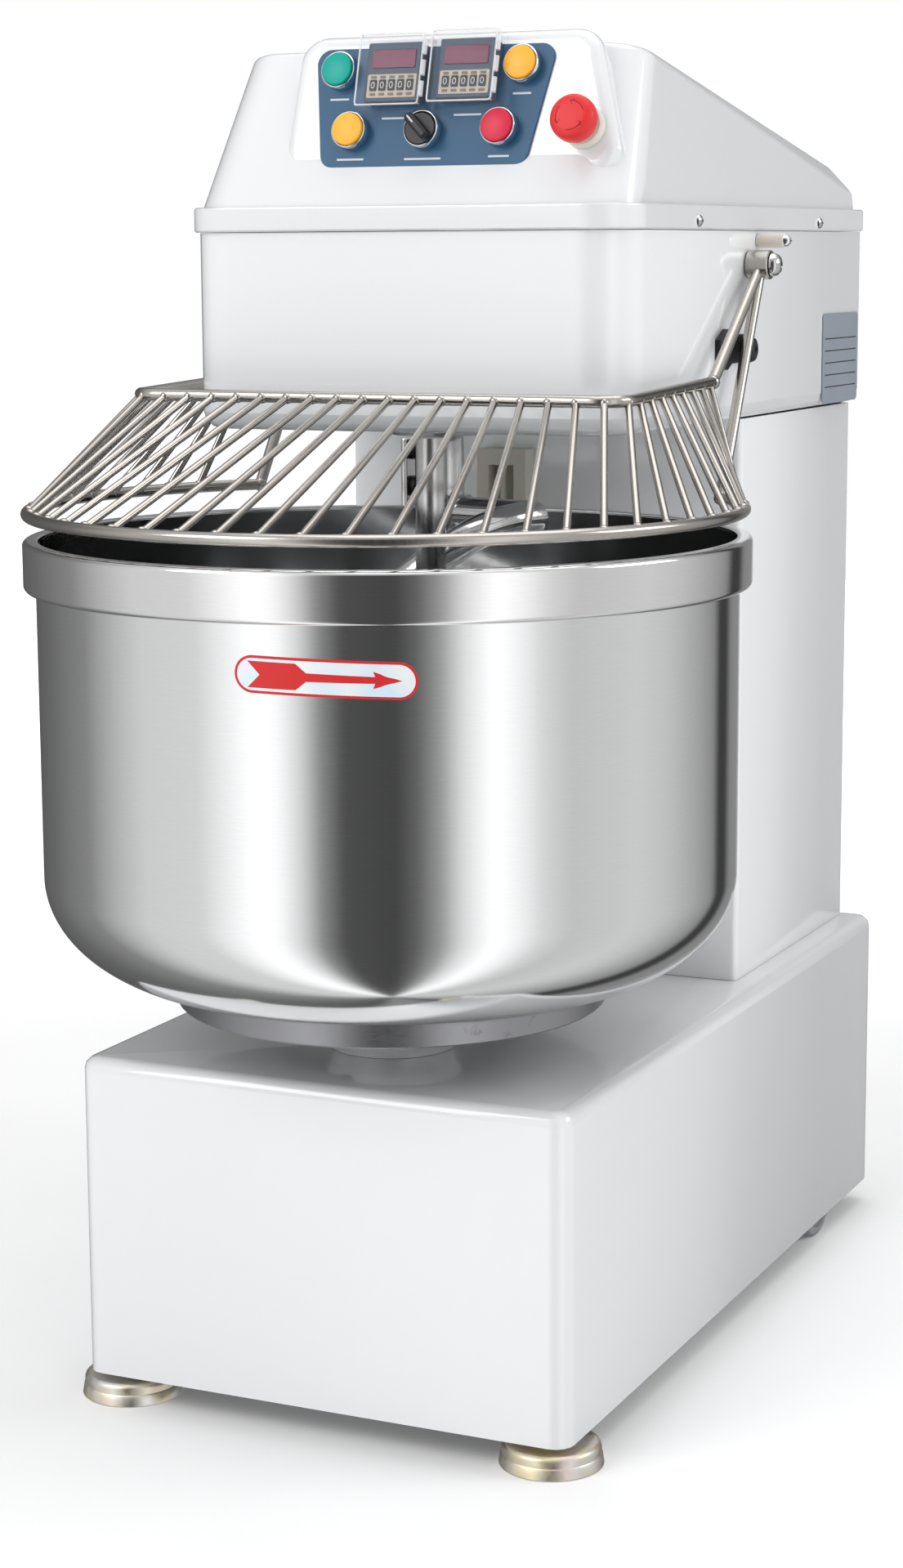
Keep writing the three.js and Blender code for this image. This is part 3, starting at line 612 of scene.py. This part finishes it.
def make_timer(node, lid_body):
    """Timer with a display above and a row of digit wheels below, a clear frame round it and a clear lid."""
    matrix = face_matrix(middle(node))
    back = -8.85 * MM

    def on_face(x, y, z):
        return matrix @ Matrix.Translation((x * MM, y * MM, back + z * MM))

    walls = bmesh.new()
    wall, half = 2.5, 29.3
    middle_of_wall = half - wall / 2
    for x, y, width, height in ((0, middle_of_wall, 2 * half, wall), (0, -middle_of_wall, 2 * half, wall),
                                (middle_of_wall, 0, wall, 2 * half), (-middle_of_wall, 0, wall, 2 * half)):
        pad(walls, (width, height, 17.6), 0.8, 0.5, on_face(x, y, 0), 3)
    piece(node + "_clear_frame", walls, CLEAR, "frame")
    case = bmesh.new()
    pad(case, (48, 48, TIMER_CASE), 2, 1, on_face(0, 0, 0))
    piece(node + "_case", case, TIMER, "frame", node)
    for name, look, places, size, corner, edge, steps in TIMER_PARTS:
        bm = bmesh.new()
        for place in places:
            pad(bm, size, corner, edge, on_face(*place), steps)
        piece(node + name, bm, look, "frame")
    digits = bmesh.new()
    for x in DIGIT_COLUMNS:
        place = on_face(x, -11, 13.7)
        loop = [place @ Vector((1.4 * MM * math.cos(TAU * i / 16), 2.4 * MM * math.sin(TAU * i / 16), 0))
                for i in range(17)]
        tube(digits, loop, 0.35, 6)
    piece(node + "_digits", digits, PRINT, "frame")
    lid_matrix = face_matrix(middle(node + "_cover"))
    make_lid_edges(node, lid_matrix, lid_body)
    lid = bmesh.new()
    lid_place = lid_matrix @ Matrix.Translation((-1 * MM, 0, -2.1 * MM))
    pad(lid, (56.5, 58.5, 2.6), 2.5, 0.9, lid_place)
    piece(node + "_lid", lid, CLEAR, lid_body, node + "_cover")


def make_lid_edges(node, matrix, lid_body):
    """The polished edges of the lid and its wall, and the hinge knuckles, drawn in whiter, part-opaque
    acrylic as a painted highlight.
    """
    edges = bmesh.new()

    def bar(start, end, radius, sides):
        first, last = (matrix @ Vector([length * MM for length in point]) for point in (start, end))
        tube(edges, [first, first.lerp(last, 0.5), last], radius, sides)

    outline = rounded_outline((-27.6, -28.6), (27.6, 28.6), [2.5] * 4, 4)
    loop = [matrix @ Vector(((x - 1) * MM, y * MM, 0.2 * MM)) for x, y in outline]
    tube(edges, loop + [loop[0]], 0.7, 8)
    for x, y in ((-28.4, -28.2), (-28.4, 28.2), (26.2, -28.2)):
        bar((x, y, 0), (x, y, -2.5), 0.6, 8)
    for knuckle in (-17, 0, 17):
        bar((28.4, knuckle - 6, 0), (28.4, knuckle + 6, 0), 2.1, 16)
    piece(node + "_lid_edges", edges, CLEAR_EDGE_HIGHLIGHT, lid_body)


# ---------- bowl ----------
def upright(low, high):
    """A frame on the vertical line through the middle of a box, at floor level."""
    return Matrix.Translation(((low.x + high.x) / 2, (low.y + high.y) / 2, 0))


def round_size(node):
    """Radius, foot and top of an upright round node, in millimetres."""
    low, high = extent(node)
    return (high.x - low.x) / 2 / MM, low.z / MM, high.z / MM


def make_bowl():
    """Bowl pressed from sheet: straight wall, elliptical bottom corner, flat floor."""
    axis = upright(*extent("bowl_shell"))
    radius, floor, top = round_size("bowl_shell")
    across, deep, wall = 120, 90, 2.5
    outer = [(0, floor)]
    inner = [(0, floor + wall)]
    for i in range(33):
        angle = math.radians(90 * (1 - i / 32))
        in_part, down_part = 1 - math.cos(angle), 1 - math.sin(angle)
        outer.append((radius - across * in_part, floor + deep * down_part))
        inner.append((radius - wall - (across - wall) * in_part, floor + wall + (deep - wall) * down_part))
    for k in range(1, 13):
        height = floor + deep + (top - floor - deep) * k / 12
        outer.append((radius, height))
        inner.append((radius - wall, height))
    turned_piece("bowl_body", outer + inner[::-1], axis, 192, BOWL_STEEL, "bowl", "bowl_shell")
    make_rim(axis)
    make_plate(axis)
    make_pedestal(axis)
    make_arrow(axis, radius * MM)


def make_rim(axis):
    """Thick band round the bowl's mouth."""
    radius, bottom, top = round_size("bowl_rim")
    inner, soft = radius - 9.5, 4.5
    profile = [(inner, bottom), *arc(radius - soft, bottom + soft, soft, -90, 0, 8),
               *arc(radius - soft, top - soft, soft, 0, 90, 8), *arc(radius - 11, top - 1.5, 1.5, 90, 180, 4),
               (radius - 12.5, top - 2.6), (inner, top - 2.6), (inner, bottom)]
    turned_piece("bowl_rim_band", profile, axis, 192, RIM_STEEL, "bowl", "bowl_rim")


def make_plate(axis):
    """Machined plate under the bowl."""
    radius, bottom, top = round_size("bowl_base_plate")
    profile = [(0, bottom), (radius - 1.5, bottom), (radius, bottom + 1.5), (radius, top - 1),
               (radius - 1, top), (0, top)]
    turned_piece("base_plate_disc", profile, axis, 160, MACHINED, "bowl", "bowl_base_plate")


SCREW_ANGLE = -109  # place of the pedestal's set screw round the bowl's axis, in degrees


def make_pedestal(axis):
    """White ring that carries the bowl's bearing, with a socket screw in its flange."""
    radius, bottom, top = round_size("bowl_pedestal")
    neck, bore = radius - 5.5, 25.6
    profile = [(bore, bottom), (neck, bottom), (neck, bottom + 17), (radius - 1, bottom + 22),
               (radius, top - 3), (radius - 2, top), (bore, top), (bore, bottom)]
    turned_piece("pedestal_ring", profile, axis, 96, WHITE, "frame", "bowl_pedestal", 45)
    around = axis @ Matrix.Rotation(math.radians(SCREW_ANGLE), 4, "Z")
    matrix = around @ facing(((radius - 2) * MM, 0, (top - 9) * MM), 90, "Y")
    screw = [(0, 0), (6, 0), (6, 9), (5, 10), (3, 10), (3, 5), (0, 5)]
    turned_piece("pedestal_screw", screw, matrix, 32, BLACK, "frame", (), 35)


STICKER_CENTRE, STICKER_REACH = 16.4, 13.8  # degrees: where its middle is, and half its length
STICKER_DROP = 4.4 * MM  # how much lower the sticker's right end sits than its left
FILM = 0.25 * MM

# Upper halves of the arrow on the sticker: degrees from its middle and millimetres up.
ARROW_TOP = (
    ((-11.7, 9.6), (-4.3, 9.6), (-4.3, 0), (-9.8, 0)),
    ((-4.3, 9.6), (-2.7, 3.1), (-2.7, 0), (-4.3, 0)),
    ((-2.7, 3.1), (7.5, 2.4), (7.5, 0), (-2.7, 0)),
    ((7.5, 2.4), (7.2, 6.2), (11.4, 0), (7.5, 0)),
)
ARROW = ARROW_TOP + tuple(tuple((a, -h) for a, h in half[::-1]) for half in ARROW_TOP)


def make_arrow(axis, radius):
    """Sticker with a red border, a pale field and a red arrow that shows which way the bowl turns."""
    z = middle("arrow_label").z
    reach, half_height = math.radians(STICKER_REACH) * radius, 13.7 * MM
    skin = radius + 0.15 * MM
    layers = (("sticker_border", STICKER_RED, 0, 0, "arrow_label"), ("sticker_field", STICKER, 0.2, 2.0, ()))
    for name, look, lift, inset, stands_for in layers:
        bm = bmesh.new()
        margin = inset * MM
        curved_strip(bm, axis, skin + lift * MM, reach - margin, z, half_height - margin)
        piece(name, bm, look, "bowl", stands_for, 60)
    arrow = bmesh.new()
    lifted = skin + 0.4 * MM
    slope = STICKER_DROP / 2 / STICKER_REACH
    for outline in ARROW:
        prism_on_bowl(arrow, axis, lifted, [(STICKER_CENTRE + a, z - slope * a + h * MM) for a, h in outline])
    piece("sticker_arrow", arrow, STICKER_RED, "bowl", (), 60)


def sticker_outline(reach, half_height):
    """Places along the sticker and its half height there: straight between two half circles."""
    steps, cap_steps = 30, 14
    straight = reach - half_height
    cap = [(straight + half_height * math.sin(t), half_height * max(math.cos(t), 1e-4))
           for t in (math.pi / 2 * k / cap_steps for k in range(1, cap_steps + 1))]
    run = [(straight * (2 * k / steps - 1), half_height) for k in range(steps + 1)]
    return [(-along, tall) for along, tall in cap[::-1]] + run + cap


def curved_strip(bm, axis, radius, reach, z, half_height):
    """A thin patch with round ends that follows the bowl; reach is half its length along the bowl."""
    columns = sticker_outline(reach, half_height)
    rows = []
    for thickness in (0.0, FILM):
        ring = []
        for side, ordered in ((-1, columns), (1, columns[::-1])):
            for along, tall in ordered:
                degrees = STICKER_CENTRE + math.degrees(along / radius)
                level = z - STICKER_DROP / 2 * along / reach + side * tall
                ring.append(on_bowl(axis, radius + thickness, degrees, level))
        rows.append(ring)
    add_film(bm, rows)


def prism_on_bowl(bm, axis, radius, outline):
    """A thin four-sided patch on the bowl, divided so that it follows the curve."""
    columns = 8
    first, second, third, fourth = (Vector(corner) for corner in outline)
    rows = []
    for lift in (0, 0.2 * MM):
        top = [first.lerp(second, k / columns) for k in range(columns + 1)]
        bottom = [fourth.lerp(third, k / columns) for k in range(columns + 1)]
        rows.append([on_bowl(axis, radius + lift, *point) for point in top + bottom[::-1]])
    add_film(bm, rows)


def add_film(bm, rings):
    """A thin patch between an inner and an outer ring: its rim, and quads across each face."""
    rows = [[bm.verts.new(point) for point in ring] for ring in rings]
    add_faces(bm, rows, len(rows[0]))
    for row in rows:
        for k in range(len(row) // 2 - 1):
            bm.faces.new((row[k], row[k + 1], row[-2 - k], row[-1 - k]))


def on_bowl(axis, radius, degrees, z):
    angle = math.radians(degrees - 90)
    return axis @ Vector((radius * math.cos(angle), radius * math.sin(angle), z))


# ---------- hook and breaker bar ----------
HOOK_REACH, HOOK_BAR = 94 * MM, 13.8  # the spiral's radius in metres, its bar's in millimetres
HOOK_TURN = 430  # degrees the spiral turns from its arm to its tip
ARM_SHARE = 0.09  # the arm's part of the bar
TIP_SHARE = 0.025  # the rounded tip's part


def hook_point(share, centre, arm, floor):
    """A point on the hook's bar: out along the arm, then down the spiral, curling inwards at its foot."""
    along = max(0.0, (share - ARM_SHARE) / (1 - ARM_SHARE))
    angle = math.radians(-15 - HOOK_TURN * along)
    curl = smooth((along - 0.8) / 0.2) * 48 * MM
    radius = HOOK_REACH * math.sin(min(share / ARM_SHARE, 1) * math.pi / 2) - curl
    ease = smooth(along / 0.2)
    fall = 0.85 * along * along * (1 - ease) + along * ease
    level = arm + (floor - arm) * fall
    return Vector((centre.x + radius * math.cos(angle), centre.y + radius * math.sin(angle), level))


def hook_taper(share):
    """The bar keeps its size up to the tip, which is round."""
    past = (share - 1 + TIP_SHARE) / (TIP_SHARE * 1.02)
    return math.sqrt(max(1 - past ** 2, 0.04)) if past > 0 else 1


def make_hook():
    low, high = extent("hook_shaft")
    centre = (low + high) / 2
    hook_low, hook_high = extent("spiral_hook")
    floor, hub_top = hook_low.z + 14 * MM, hook_high.z
    arm = hub_top - 14.6 * MM
    steps = 260
    bm = bmesh.new()
    tube(bm, [hook_point(i / steps, centre, arm, floor) for i in range(steps + 1)], HOOK_BAR, 28, hook_taper)
    axis = upright(low, high)
    hub, hub_foot, hub_top = 23.8, arm / MM - 18, hub_top / MM
    profile = [(0, hub_foot), (20, hub_foot), (hub, hub_foot + 4), (hub, hub_top - 2), (22, hub_top),
               (0, hub_top)]
    turn(bm, profile, axis, 72)
    piece("hook_bar", bm, POLISHED, "hook", "spiral_hook", 40)
    _, foot, top = round_size("hook_shaft")
    journal, stem = 16.9, 16.6
    profile = [(0, foot), (journal, foot), (journal, foot + 40), (stem, foot + 41), (stem, top - 1),
               (15.6, top), (0, top)]
    turned_piece("hook_spindle", profile, axis, 72, POLISHED, "hook", "hook_shaft")


def make_breaker_bar():
    """Breaker bar, its bracket and two socket bolts."""
    radius, foot, top = round_size("breaker_bar")
    profile = [(0, foot), *arc(radius - 5, foot + 5, 5, -90, 0, 8), (radius, top), (0, top)]
    axis = upright(*extent("breaker_bar"))
    turned_piece("breaker_rod", profile, axis, 72, POLISHED, "frame", "breaker_bar")
    refined("breaker_bracket", POLISHED, "frame", 2)
    for node in ("upper_bracket_bolt", "lower_bracket_bolt"):
        low, high = extent(node)
        centre = (low + high) / 2
        size, deep = (high.z - low.z) / 2 / MM, (high.x - low.x) / MM
        socket = size * 0.5
        matrix = facing((low.x, centre.y, centre.z), 90, "Y")
        bolt = bmesh.new()
        turn(bolt, [(0, 0), (size, 0), (size, deep - 1), (size - 1, deep), (socket, deep)], matrix, 40)
        turn(bolt, [(socket, deep), (socket, deep - 3), (0, deep - 3)], matrix, 6)
        piece(node + "_head", bolt, BLACK, "frame", node, 30)


# ---------- guard ----------
RODS = 37
ROD_RING_STEP = 6.6  # degrees between rods on the ring
ROD_HOOP_STEP = 22.3 * MM  # distance between rods along the hoop
RING_END = 131  # degrees from the front to each end of the ring
RING_INSET = 5 * MM  # from the cage's outside to the middle of the ring's bar
EYE_X, BARREL_X = 207 * MM, 196.2 * MM


def make_guard():
    """Welded cage: ring, hoop, rods, and an arm each side up to a pivot barrel."""
    low, high = extent("guard_cage")
    ring_r = (high.x - low.x) / 2 - RING_INSET
    ring_y, ring_z = low.y + RING_INSET + ring_r, low.z + RING_INSET
    pivot = middle("guard_pivot_right")
    hoop = hoop_path(low)

    def on_ring(degrees):
        angle = math.radians(degrees)
        return Vector((ring_r * math.sin(angle), ring_y - ring_r * math.cos(angle), ring_z))

    bm = bmesh.new()
    tube(bm, [on_ring(RING_END * (i / 80 - 1)) for i in range(161)], 4.8, 20)
    tube(bm, hoop, 4.9, 20)
    for side, end in ((-1, hoop[0]), (1, hoop[-1])):
        eye = Vector((side * EYE_X, pivot.y, pivot.z))
        for start in (end, on_ring(side * RING_END)):
            tube(bm, [start.lerp(eye, k / 6) for k in range(7)], 4.8, 20)
            weld(bm, start, 6.2)
        weld(bm, eye, 9)
        profile = [(6.4, 0), (11.5, 0), (12.4, 1), (12.4, 19), (11.5, 20), (6.4, 20), (6.4, 0)]
        turn(bm, profile, facing((side * BARREL_X, pivot.y, pivot.z), side * 90, "Y"), 48)
    piece("guard_frame", bm, SHADED_SATIN_STEEL, "guard", "guard_cage", 40)
    rods = bmesh.new()
    lengths = distances(hoop)
    for i in range(RODS):
        step = i - (RODS - 1) / 2
        top = at_length(hoop, lengths, lengths[-1] / 2 + step * ROD_HOOP_STEP)
        foot = on_ring(step * ROD_RING_STEP)
        tube(rods, [top.lerp(foot, k / 4) for k in range(5)], 2.9, 14)
        weld(rods, top.lerp(foot, 0.012), 4.6)
        weld(rods, top.lerp(foot, 0.985), 4.8)
    piece("guard_rods", rods, SHADED_SATIN_STEEL, "guard", (), 50)
    make_pivots()


def hoop_path(guard_low):
    """Upper hoop: from the left side round the front to the right side."""
    front, back = guard_low.y + 253.3 * MM, guard_low.y + 460.3 * MM
    half, corner = 213 * MM, 24 * MM
    z, back_z = guard_low.z + 93.7 * MM, guard_low.z + 100.2 * MM
    side = [Vector((half, back, back_z)).lerp(Vector((half, front + corner, z)), k / 12) for k in range(12)]
    bend = [Vector((x, y, z)) for x, y in arc(half - corner, front + corner, corner, 0, -90, 12)]
    right = side + bend
    left = [Vector((-p.x, p.y, p.z)) for p in right]
    run = [Vector((x * (half - corner) / 8, front, z)) for x in range(-7, 8)]
    return left + run + right[::-1]


def distances(path):
    """How far along the path each of its points is."""
    total = [0.0]
    for first, second in zip(path, path[1:]):
        total.append(total[-1] + (second - first).length)
    return total


def at_length(path, lengths, wanted):
    """The point at the wanted distance along the path."""
    k = next(k for k, length in enumerate(lengths) if k and length >= wanted)
    share = (wanted - lengths[k - 1]) / (lengths[k] - lengths[k - 1])
    return path[k - 1].lerp(path[k], share)


def weld(bm, place, size):
    """A small weld bead."""
    bmesh.ops.create_icosphere(bm, subdivisions=2, radius=size * MM, matrix=Matrix.Translation(place))


def make_pivots():
    """Domed pivot bolts that hold the guard's barrels to the head."""
    for side, name in ((-1, "left"), (1, "right")):
        low, high = extent("guard_pivot_" + name)
        centre = (low + high) / 2
        inner, length = (low.x if side > 0 else high.x), (high.x - low.x) / MM
        matrix = facing((inner, centre.y, centre.z), side * 90, "Y")
        shank, head = 5.9, 10
        profile = [(0, 0), (shank, 0), (shank, length - 8), (head, length - 8), (head, length - 6.5),
                   (9, length - 3.5), (6.5, length - 1), (3.4, length), (2.8, length - 2), (0, length - 2)]
        node = "guard_pivot_" + name
        turned_piece("guard_bolt_" + name, profile, matrix, 48, POLISHED, "frame", node)


# ---------- side fittings, column block ----------
def make_side_fittings():
    make_stop_pin()
    make_switch()
    make_gland()
    refined("roller_block", NYLON, "frame", 1.5)


def make_stop_pin():
    """White sleeve that the guard rests on, with its screw."""
    low, high = extent("guard_stop_pin")
    centre, length = (low + high) / 2, (high.x - low.x) / MM
    matrix = facing((low.x, centre.y, centre.z), 90, "Y")
    sleeve, end = 6.2, length - 5.8
    profile = [(0, 0), (sleeve, 0), (sleeve, length - 6.5), (5.6, end), (0, end)]
    turned_piece("stop_sleeve", profile, matrix, 48, NYLON, "frame", "guard_stop_pin")
    screw = bmesh.new()
    pan_head(screw, matrix @ Matrix.Translation((0, 0, (length - 6) * MM)), 5.2, 5.6)
    piece("stop_sleeve_screw", screw, CHROME, "frame")


def make_switch():
    """Black switch: a flat hexagon, an arm and a round knob."""
    low, high = extent("guard_switch")
    centre = (low + high) / 2
    body = bmesh.new()
    flat = facing((low.x, centre.y - 12 * MM, centre.z), 90, "Y")
    hexagon = [flat @ Vector((17 * MM * math.cos(TAU * k / 6), 21 * MM * math.sin(TAU * k / 6), height))
               for k in range(6) for height in (0, 4.6 * MM)]
    hull(body, hexagon)
    arm = facing((low.x, high.y - 22 * MM, centre.z), 90, "Y")
    pad(body, (24, 40, 5), 8, 1.5, arm)
    knob = facing((low.x, high.y - 12 * MM, centre.z - 1 * MM), 90, "Y")
    profile = [(0, 0), (11, 0), (11, 11), (9.5, 14), (6, 15.5), (3, 15.5), (2.5, 14), (0, 14)]
    turn(body, profile, knob, 48)
    piece("switch_shape", body, BLACK, "frame", "guard_switch", 35, True)


def make_gland():
    """Cable gland: a hexagon nut and a hollow sleeve."""
    low, high = extent("cable_gland")
    centre, length = (low + high) / 2, (high.y - low.y) / MM
    matrix = facing((centre.x, low.y, centre.z), -90, "X")
    bm = bmesh.new()
    turn(bm, [(0, 0), (14, 0), (14, 5.5), (0, 5.5)], matrix, 6)
    sleeve, bore = 9.8, 5
    profile = [(0, 5), (sleeve, 5), (sleeve, length - 2.5), (7.5, length), (bore, length), (bore, 6), (0, 6)]
    turn(bm, profile, matrix, 40)
    piece("gland_shape", bm, BLACK, "frame", "cable_gland", 35)


# ---------- feet and wheels ----------
def make_feet():
    for side in ("left", "right"):
        make_foot(side)
        make_wheel(side)


def make_foot(side):
    """Levelling foot: a pressed cup with a flared lip and a nut, under a stud."""
    node = side + "_foot"
    radius, _, top = round_size(node)
    lip, shoulder, stud, nut_top = radius - 2, radius - 7, 8, 22.2
    cup = [(0, 0), (lip, 0), *arc(lip + 0.8, 1.2, 1.2, -90, 20, 5), (radius - 1.2, 8.5), (radius - 2.2, 9.6),
           (radius - 2, 13.5), *arc(shoulder, 13.5, 5, 0, 78, 8), (shoulder - 6, 17.6), (17, 19.4),
           (15, nut_top), (stud, nut_top), (stud, top), (0, top)]
    turned_piece(node + "_cup", cup, upright(*extent(node)), 96, ZINC, "frame", node, 35)


def make_wheel(side):
    """Rear wheel with a recessed web."""
    low, high = extent(side + "_wheel")
    half, radius = (high.x - low.x) / 2 / MM, (high.z - low.z) / 2 / MM
    bore, soft, web = 6.4, 4, 4 - half
    profile = [(bore, -half), (14, -half), (15, web), (radius - 10, web), (radius - 8, 1 - half),
               *arc(radius - soft, soft + 1 - half, soft, -90, 0, 5)]
    profile += [(r, -h) for r, h in profile[::-1]] + [profile[0]]
    matrix = facing((low + high) / 2, 90, "Y")
    turned_piece(side + "_tyre", profile, matrix, 80, GREY_TYRE, side + "_caster", side + "_wheel")


# ---------- CAD pieces that keep their shape ----------
KEPT = (
    (MACHINED, ("bowl_spindle", "bowl_bearing", "bowl_pulley", "bowl_motor_pulley", "hook_bearing",
                "hook_pulley", "hook_motor_pulley", "wheel_axle")),
    (RUBBER, ("bowl_belt", "hook_belt")),
    (MOTOR, ("bowl_motor", "hook_motor")),
    (NYLON, ("rim_roller",)),
    (BLACK, ("estop_stem",)),
)


def dress_kept_nodes():
    for look, nodes in KEPT:
        for node in nodes:
            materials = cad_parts[node].data.materials
            materials.clear()
            materials.append(look)


# ---------- studio ----------
def pale_floor():
    """Matt white paper, lit up towards its edges so that it runs into the backdrop."""
    look = Shader("pale_floor", (0.95, 0.95, 0.95), 0.9, Specular_IOR_Level=0.0, Emission_Color=(1, 1, 1, 1))
    tone = look.noise(5, detail=1)
    look.paint(look.mix(tone, (0.93, 0.93, 0.93), (0.96, 0.96, 0.96)))
    distance = look.node("ShaderNodeVectorMath", {0: look.place}, operation="LENGTH").outputs["Value"]
    return look.feed("Emission Strength", look.remap(distance, 1.1, 3.4, 0.06, 0.85)).material


def make_floor():
    bm = bmesh.new()
    bmesh.ops.create_grid(bm, x_segments=1, y_segments=1, size=6)
    mesh = bpy.data.meshes.new("floor")
    bm.to_mesh(mesh)
    bm.free()
    floor = bpy.data.objects.new("floor", mesh)
    bpy.context.collection.objects.link(floor)
    mesh.materials.append(pale_floor())
    floor.visible_glossy = False


# Brightness of the studio round the machine: degrees anticlockwise from the camera's side, and level.
STUDIO = (
    (-180, 0.3), (-168, 0.1), (-142, 0.16), (-115, 0.28), (-96, 0.6), (-85, 0.76), (-64, 0.8), (-51, 1.15),
    (-43, 1.35), (-36, 1.25), (-29, 0.85), (-22, 0.3), (-15, 0.09), (2, 0.07), (9, 0.16), (16, 0.4),
    (23, 0.9), (33, 1.35), (41, 1.15), (50, 0.82), (60, 0.66), (86, 0.74), (100, 0.66), (118, 0.45),
    (130, 0.3), (135, 0.05), (142, 0.05), (148, 0.26), (180, 0.3))
CAMERA_SIDE = -64  # direction of the camera from the machine, in degrees from +X
STUDIO_STRENGTH = 2
CEILING = (0.4, 0.4, 0.405, 1)


def make_studio():
    """World light: bright panels and dark gaps round the machine, a pale ceiling and a white backdrop."""
    world = bpy.data.worlds.new("studio")
    bpy.context.scene.world = world
    world.use_nodes = True
    tree = world.node_tree

    def math_node(operation, *values):
        return wire(tree, "ShaderNodeMath", dict(enumerate(values)), operation=operation).outputs[0]

    place = wire(tree, "ShaderNodeTexCoord", {}).outputs["Generated"]
    parts = wire(tree, "ShaderNodeSeparateXYZ", {0: place}).outputs
    angle = math_node("ARCTAN2", parts["Y"], parts["X"])
    from_camera = math_node("SUBTRACT", angle, math.radians(CAMERA_SIDE - 180))
    share = math_node("FRACT", math_node("DIVIDE", from_camera, TAU))
    ramp = wire(tree, "ShaderNodeValToRGB", {0: share})
    stops = ramp.color_ramp.elements
    stops.remove(stops[-1])
    for index, (degrees, level) in enumerate(STUDIO):
        position = (degrees + 180) / 360
        stop = stops.new(position) if index else stops[0]
        stop.position = position
        gray = level / STUDIO_STRENGTH
        stop.color = (gray, gray, gray, 1)
    height = wire(tree, "ShaderNodeMapRange", {"From Min": 0.45, "From Max": 0.8, "Value": parts["Z"]})
    values = {"Factor": height.outputs["Result"], 6: ramp.outputs["Color"], 7: CEILING}
    mixed = wire(tree, "ShaderNodeMix", values, data_type="RGBA").outputs[2]
    light = wire(tree, "ShaderNodeBackground", {"Color": mixed, "Strength": STUDIO_STRENGTH})
    backdrop = wire(tree, "ShaderNodeBackground", {"Color": (1, 1, 1, 1)})
    seen = wire(tree, "ShaderNodeLightPath", {}).outputs["Is Camera Ray"]
    chooser = wire(tree, "ShaderNodeMixShader", {0: seen, 1: light.outputs[0], 2: backdrop.outputs[0]})
    tree.links.new(chooser.outputs[0], tree.nodes["World Output"].inputs[0])


def area_light(name, place, aim, size, power):
    data = bpy.data.lights.new(name, "AREA")
    data.shape = "RECTANGLE"
    data.size, data.size_y = size
    data.energy = power
    made = bpy.data.objects.new(name, data)
    bpy.context.collection.objects.link(made)
    made.location = place
    made.rotation_euler = (Vector(aim) - Vector(place)).to_track_quat("-Z", "Y").to_euler()


def make_lights():
    area_light("key_front_left", (-1.4, -2.6, 2.4), (0, -0.1, 0.7), (1.6, 1.6), 30)
    area_light("top_soft", (0.2, 0.2, 3.0), (0, 0, 0.6), (2.2, 2.2), 20)
    area_light("right_high", (2.2, 0.6, 1.7), (0.2, 0.1, 0.95), (1.2, 0.8), 12)
    bpy.context.scene.view_settings.view_transform = "Standard"


make_casings()
make_controls()
make_bowl()
make_hook()
make_breaker_bar()
make_guard()
make_side_fittings()
make_feet()
dress_kept_nodes()
make_floor()
make_studio()
make_lights()
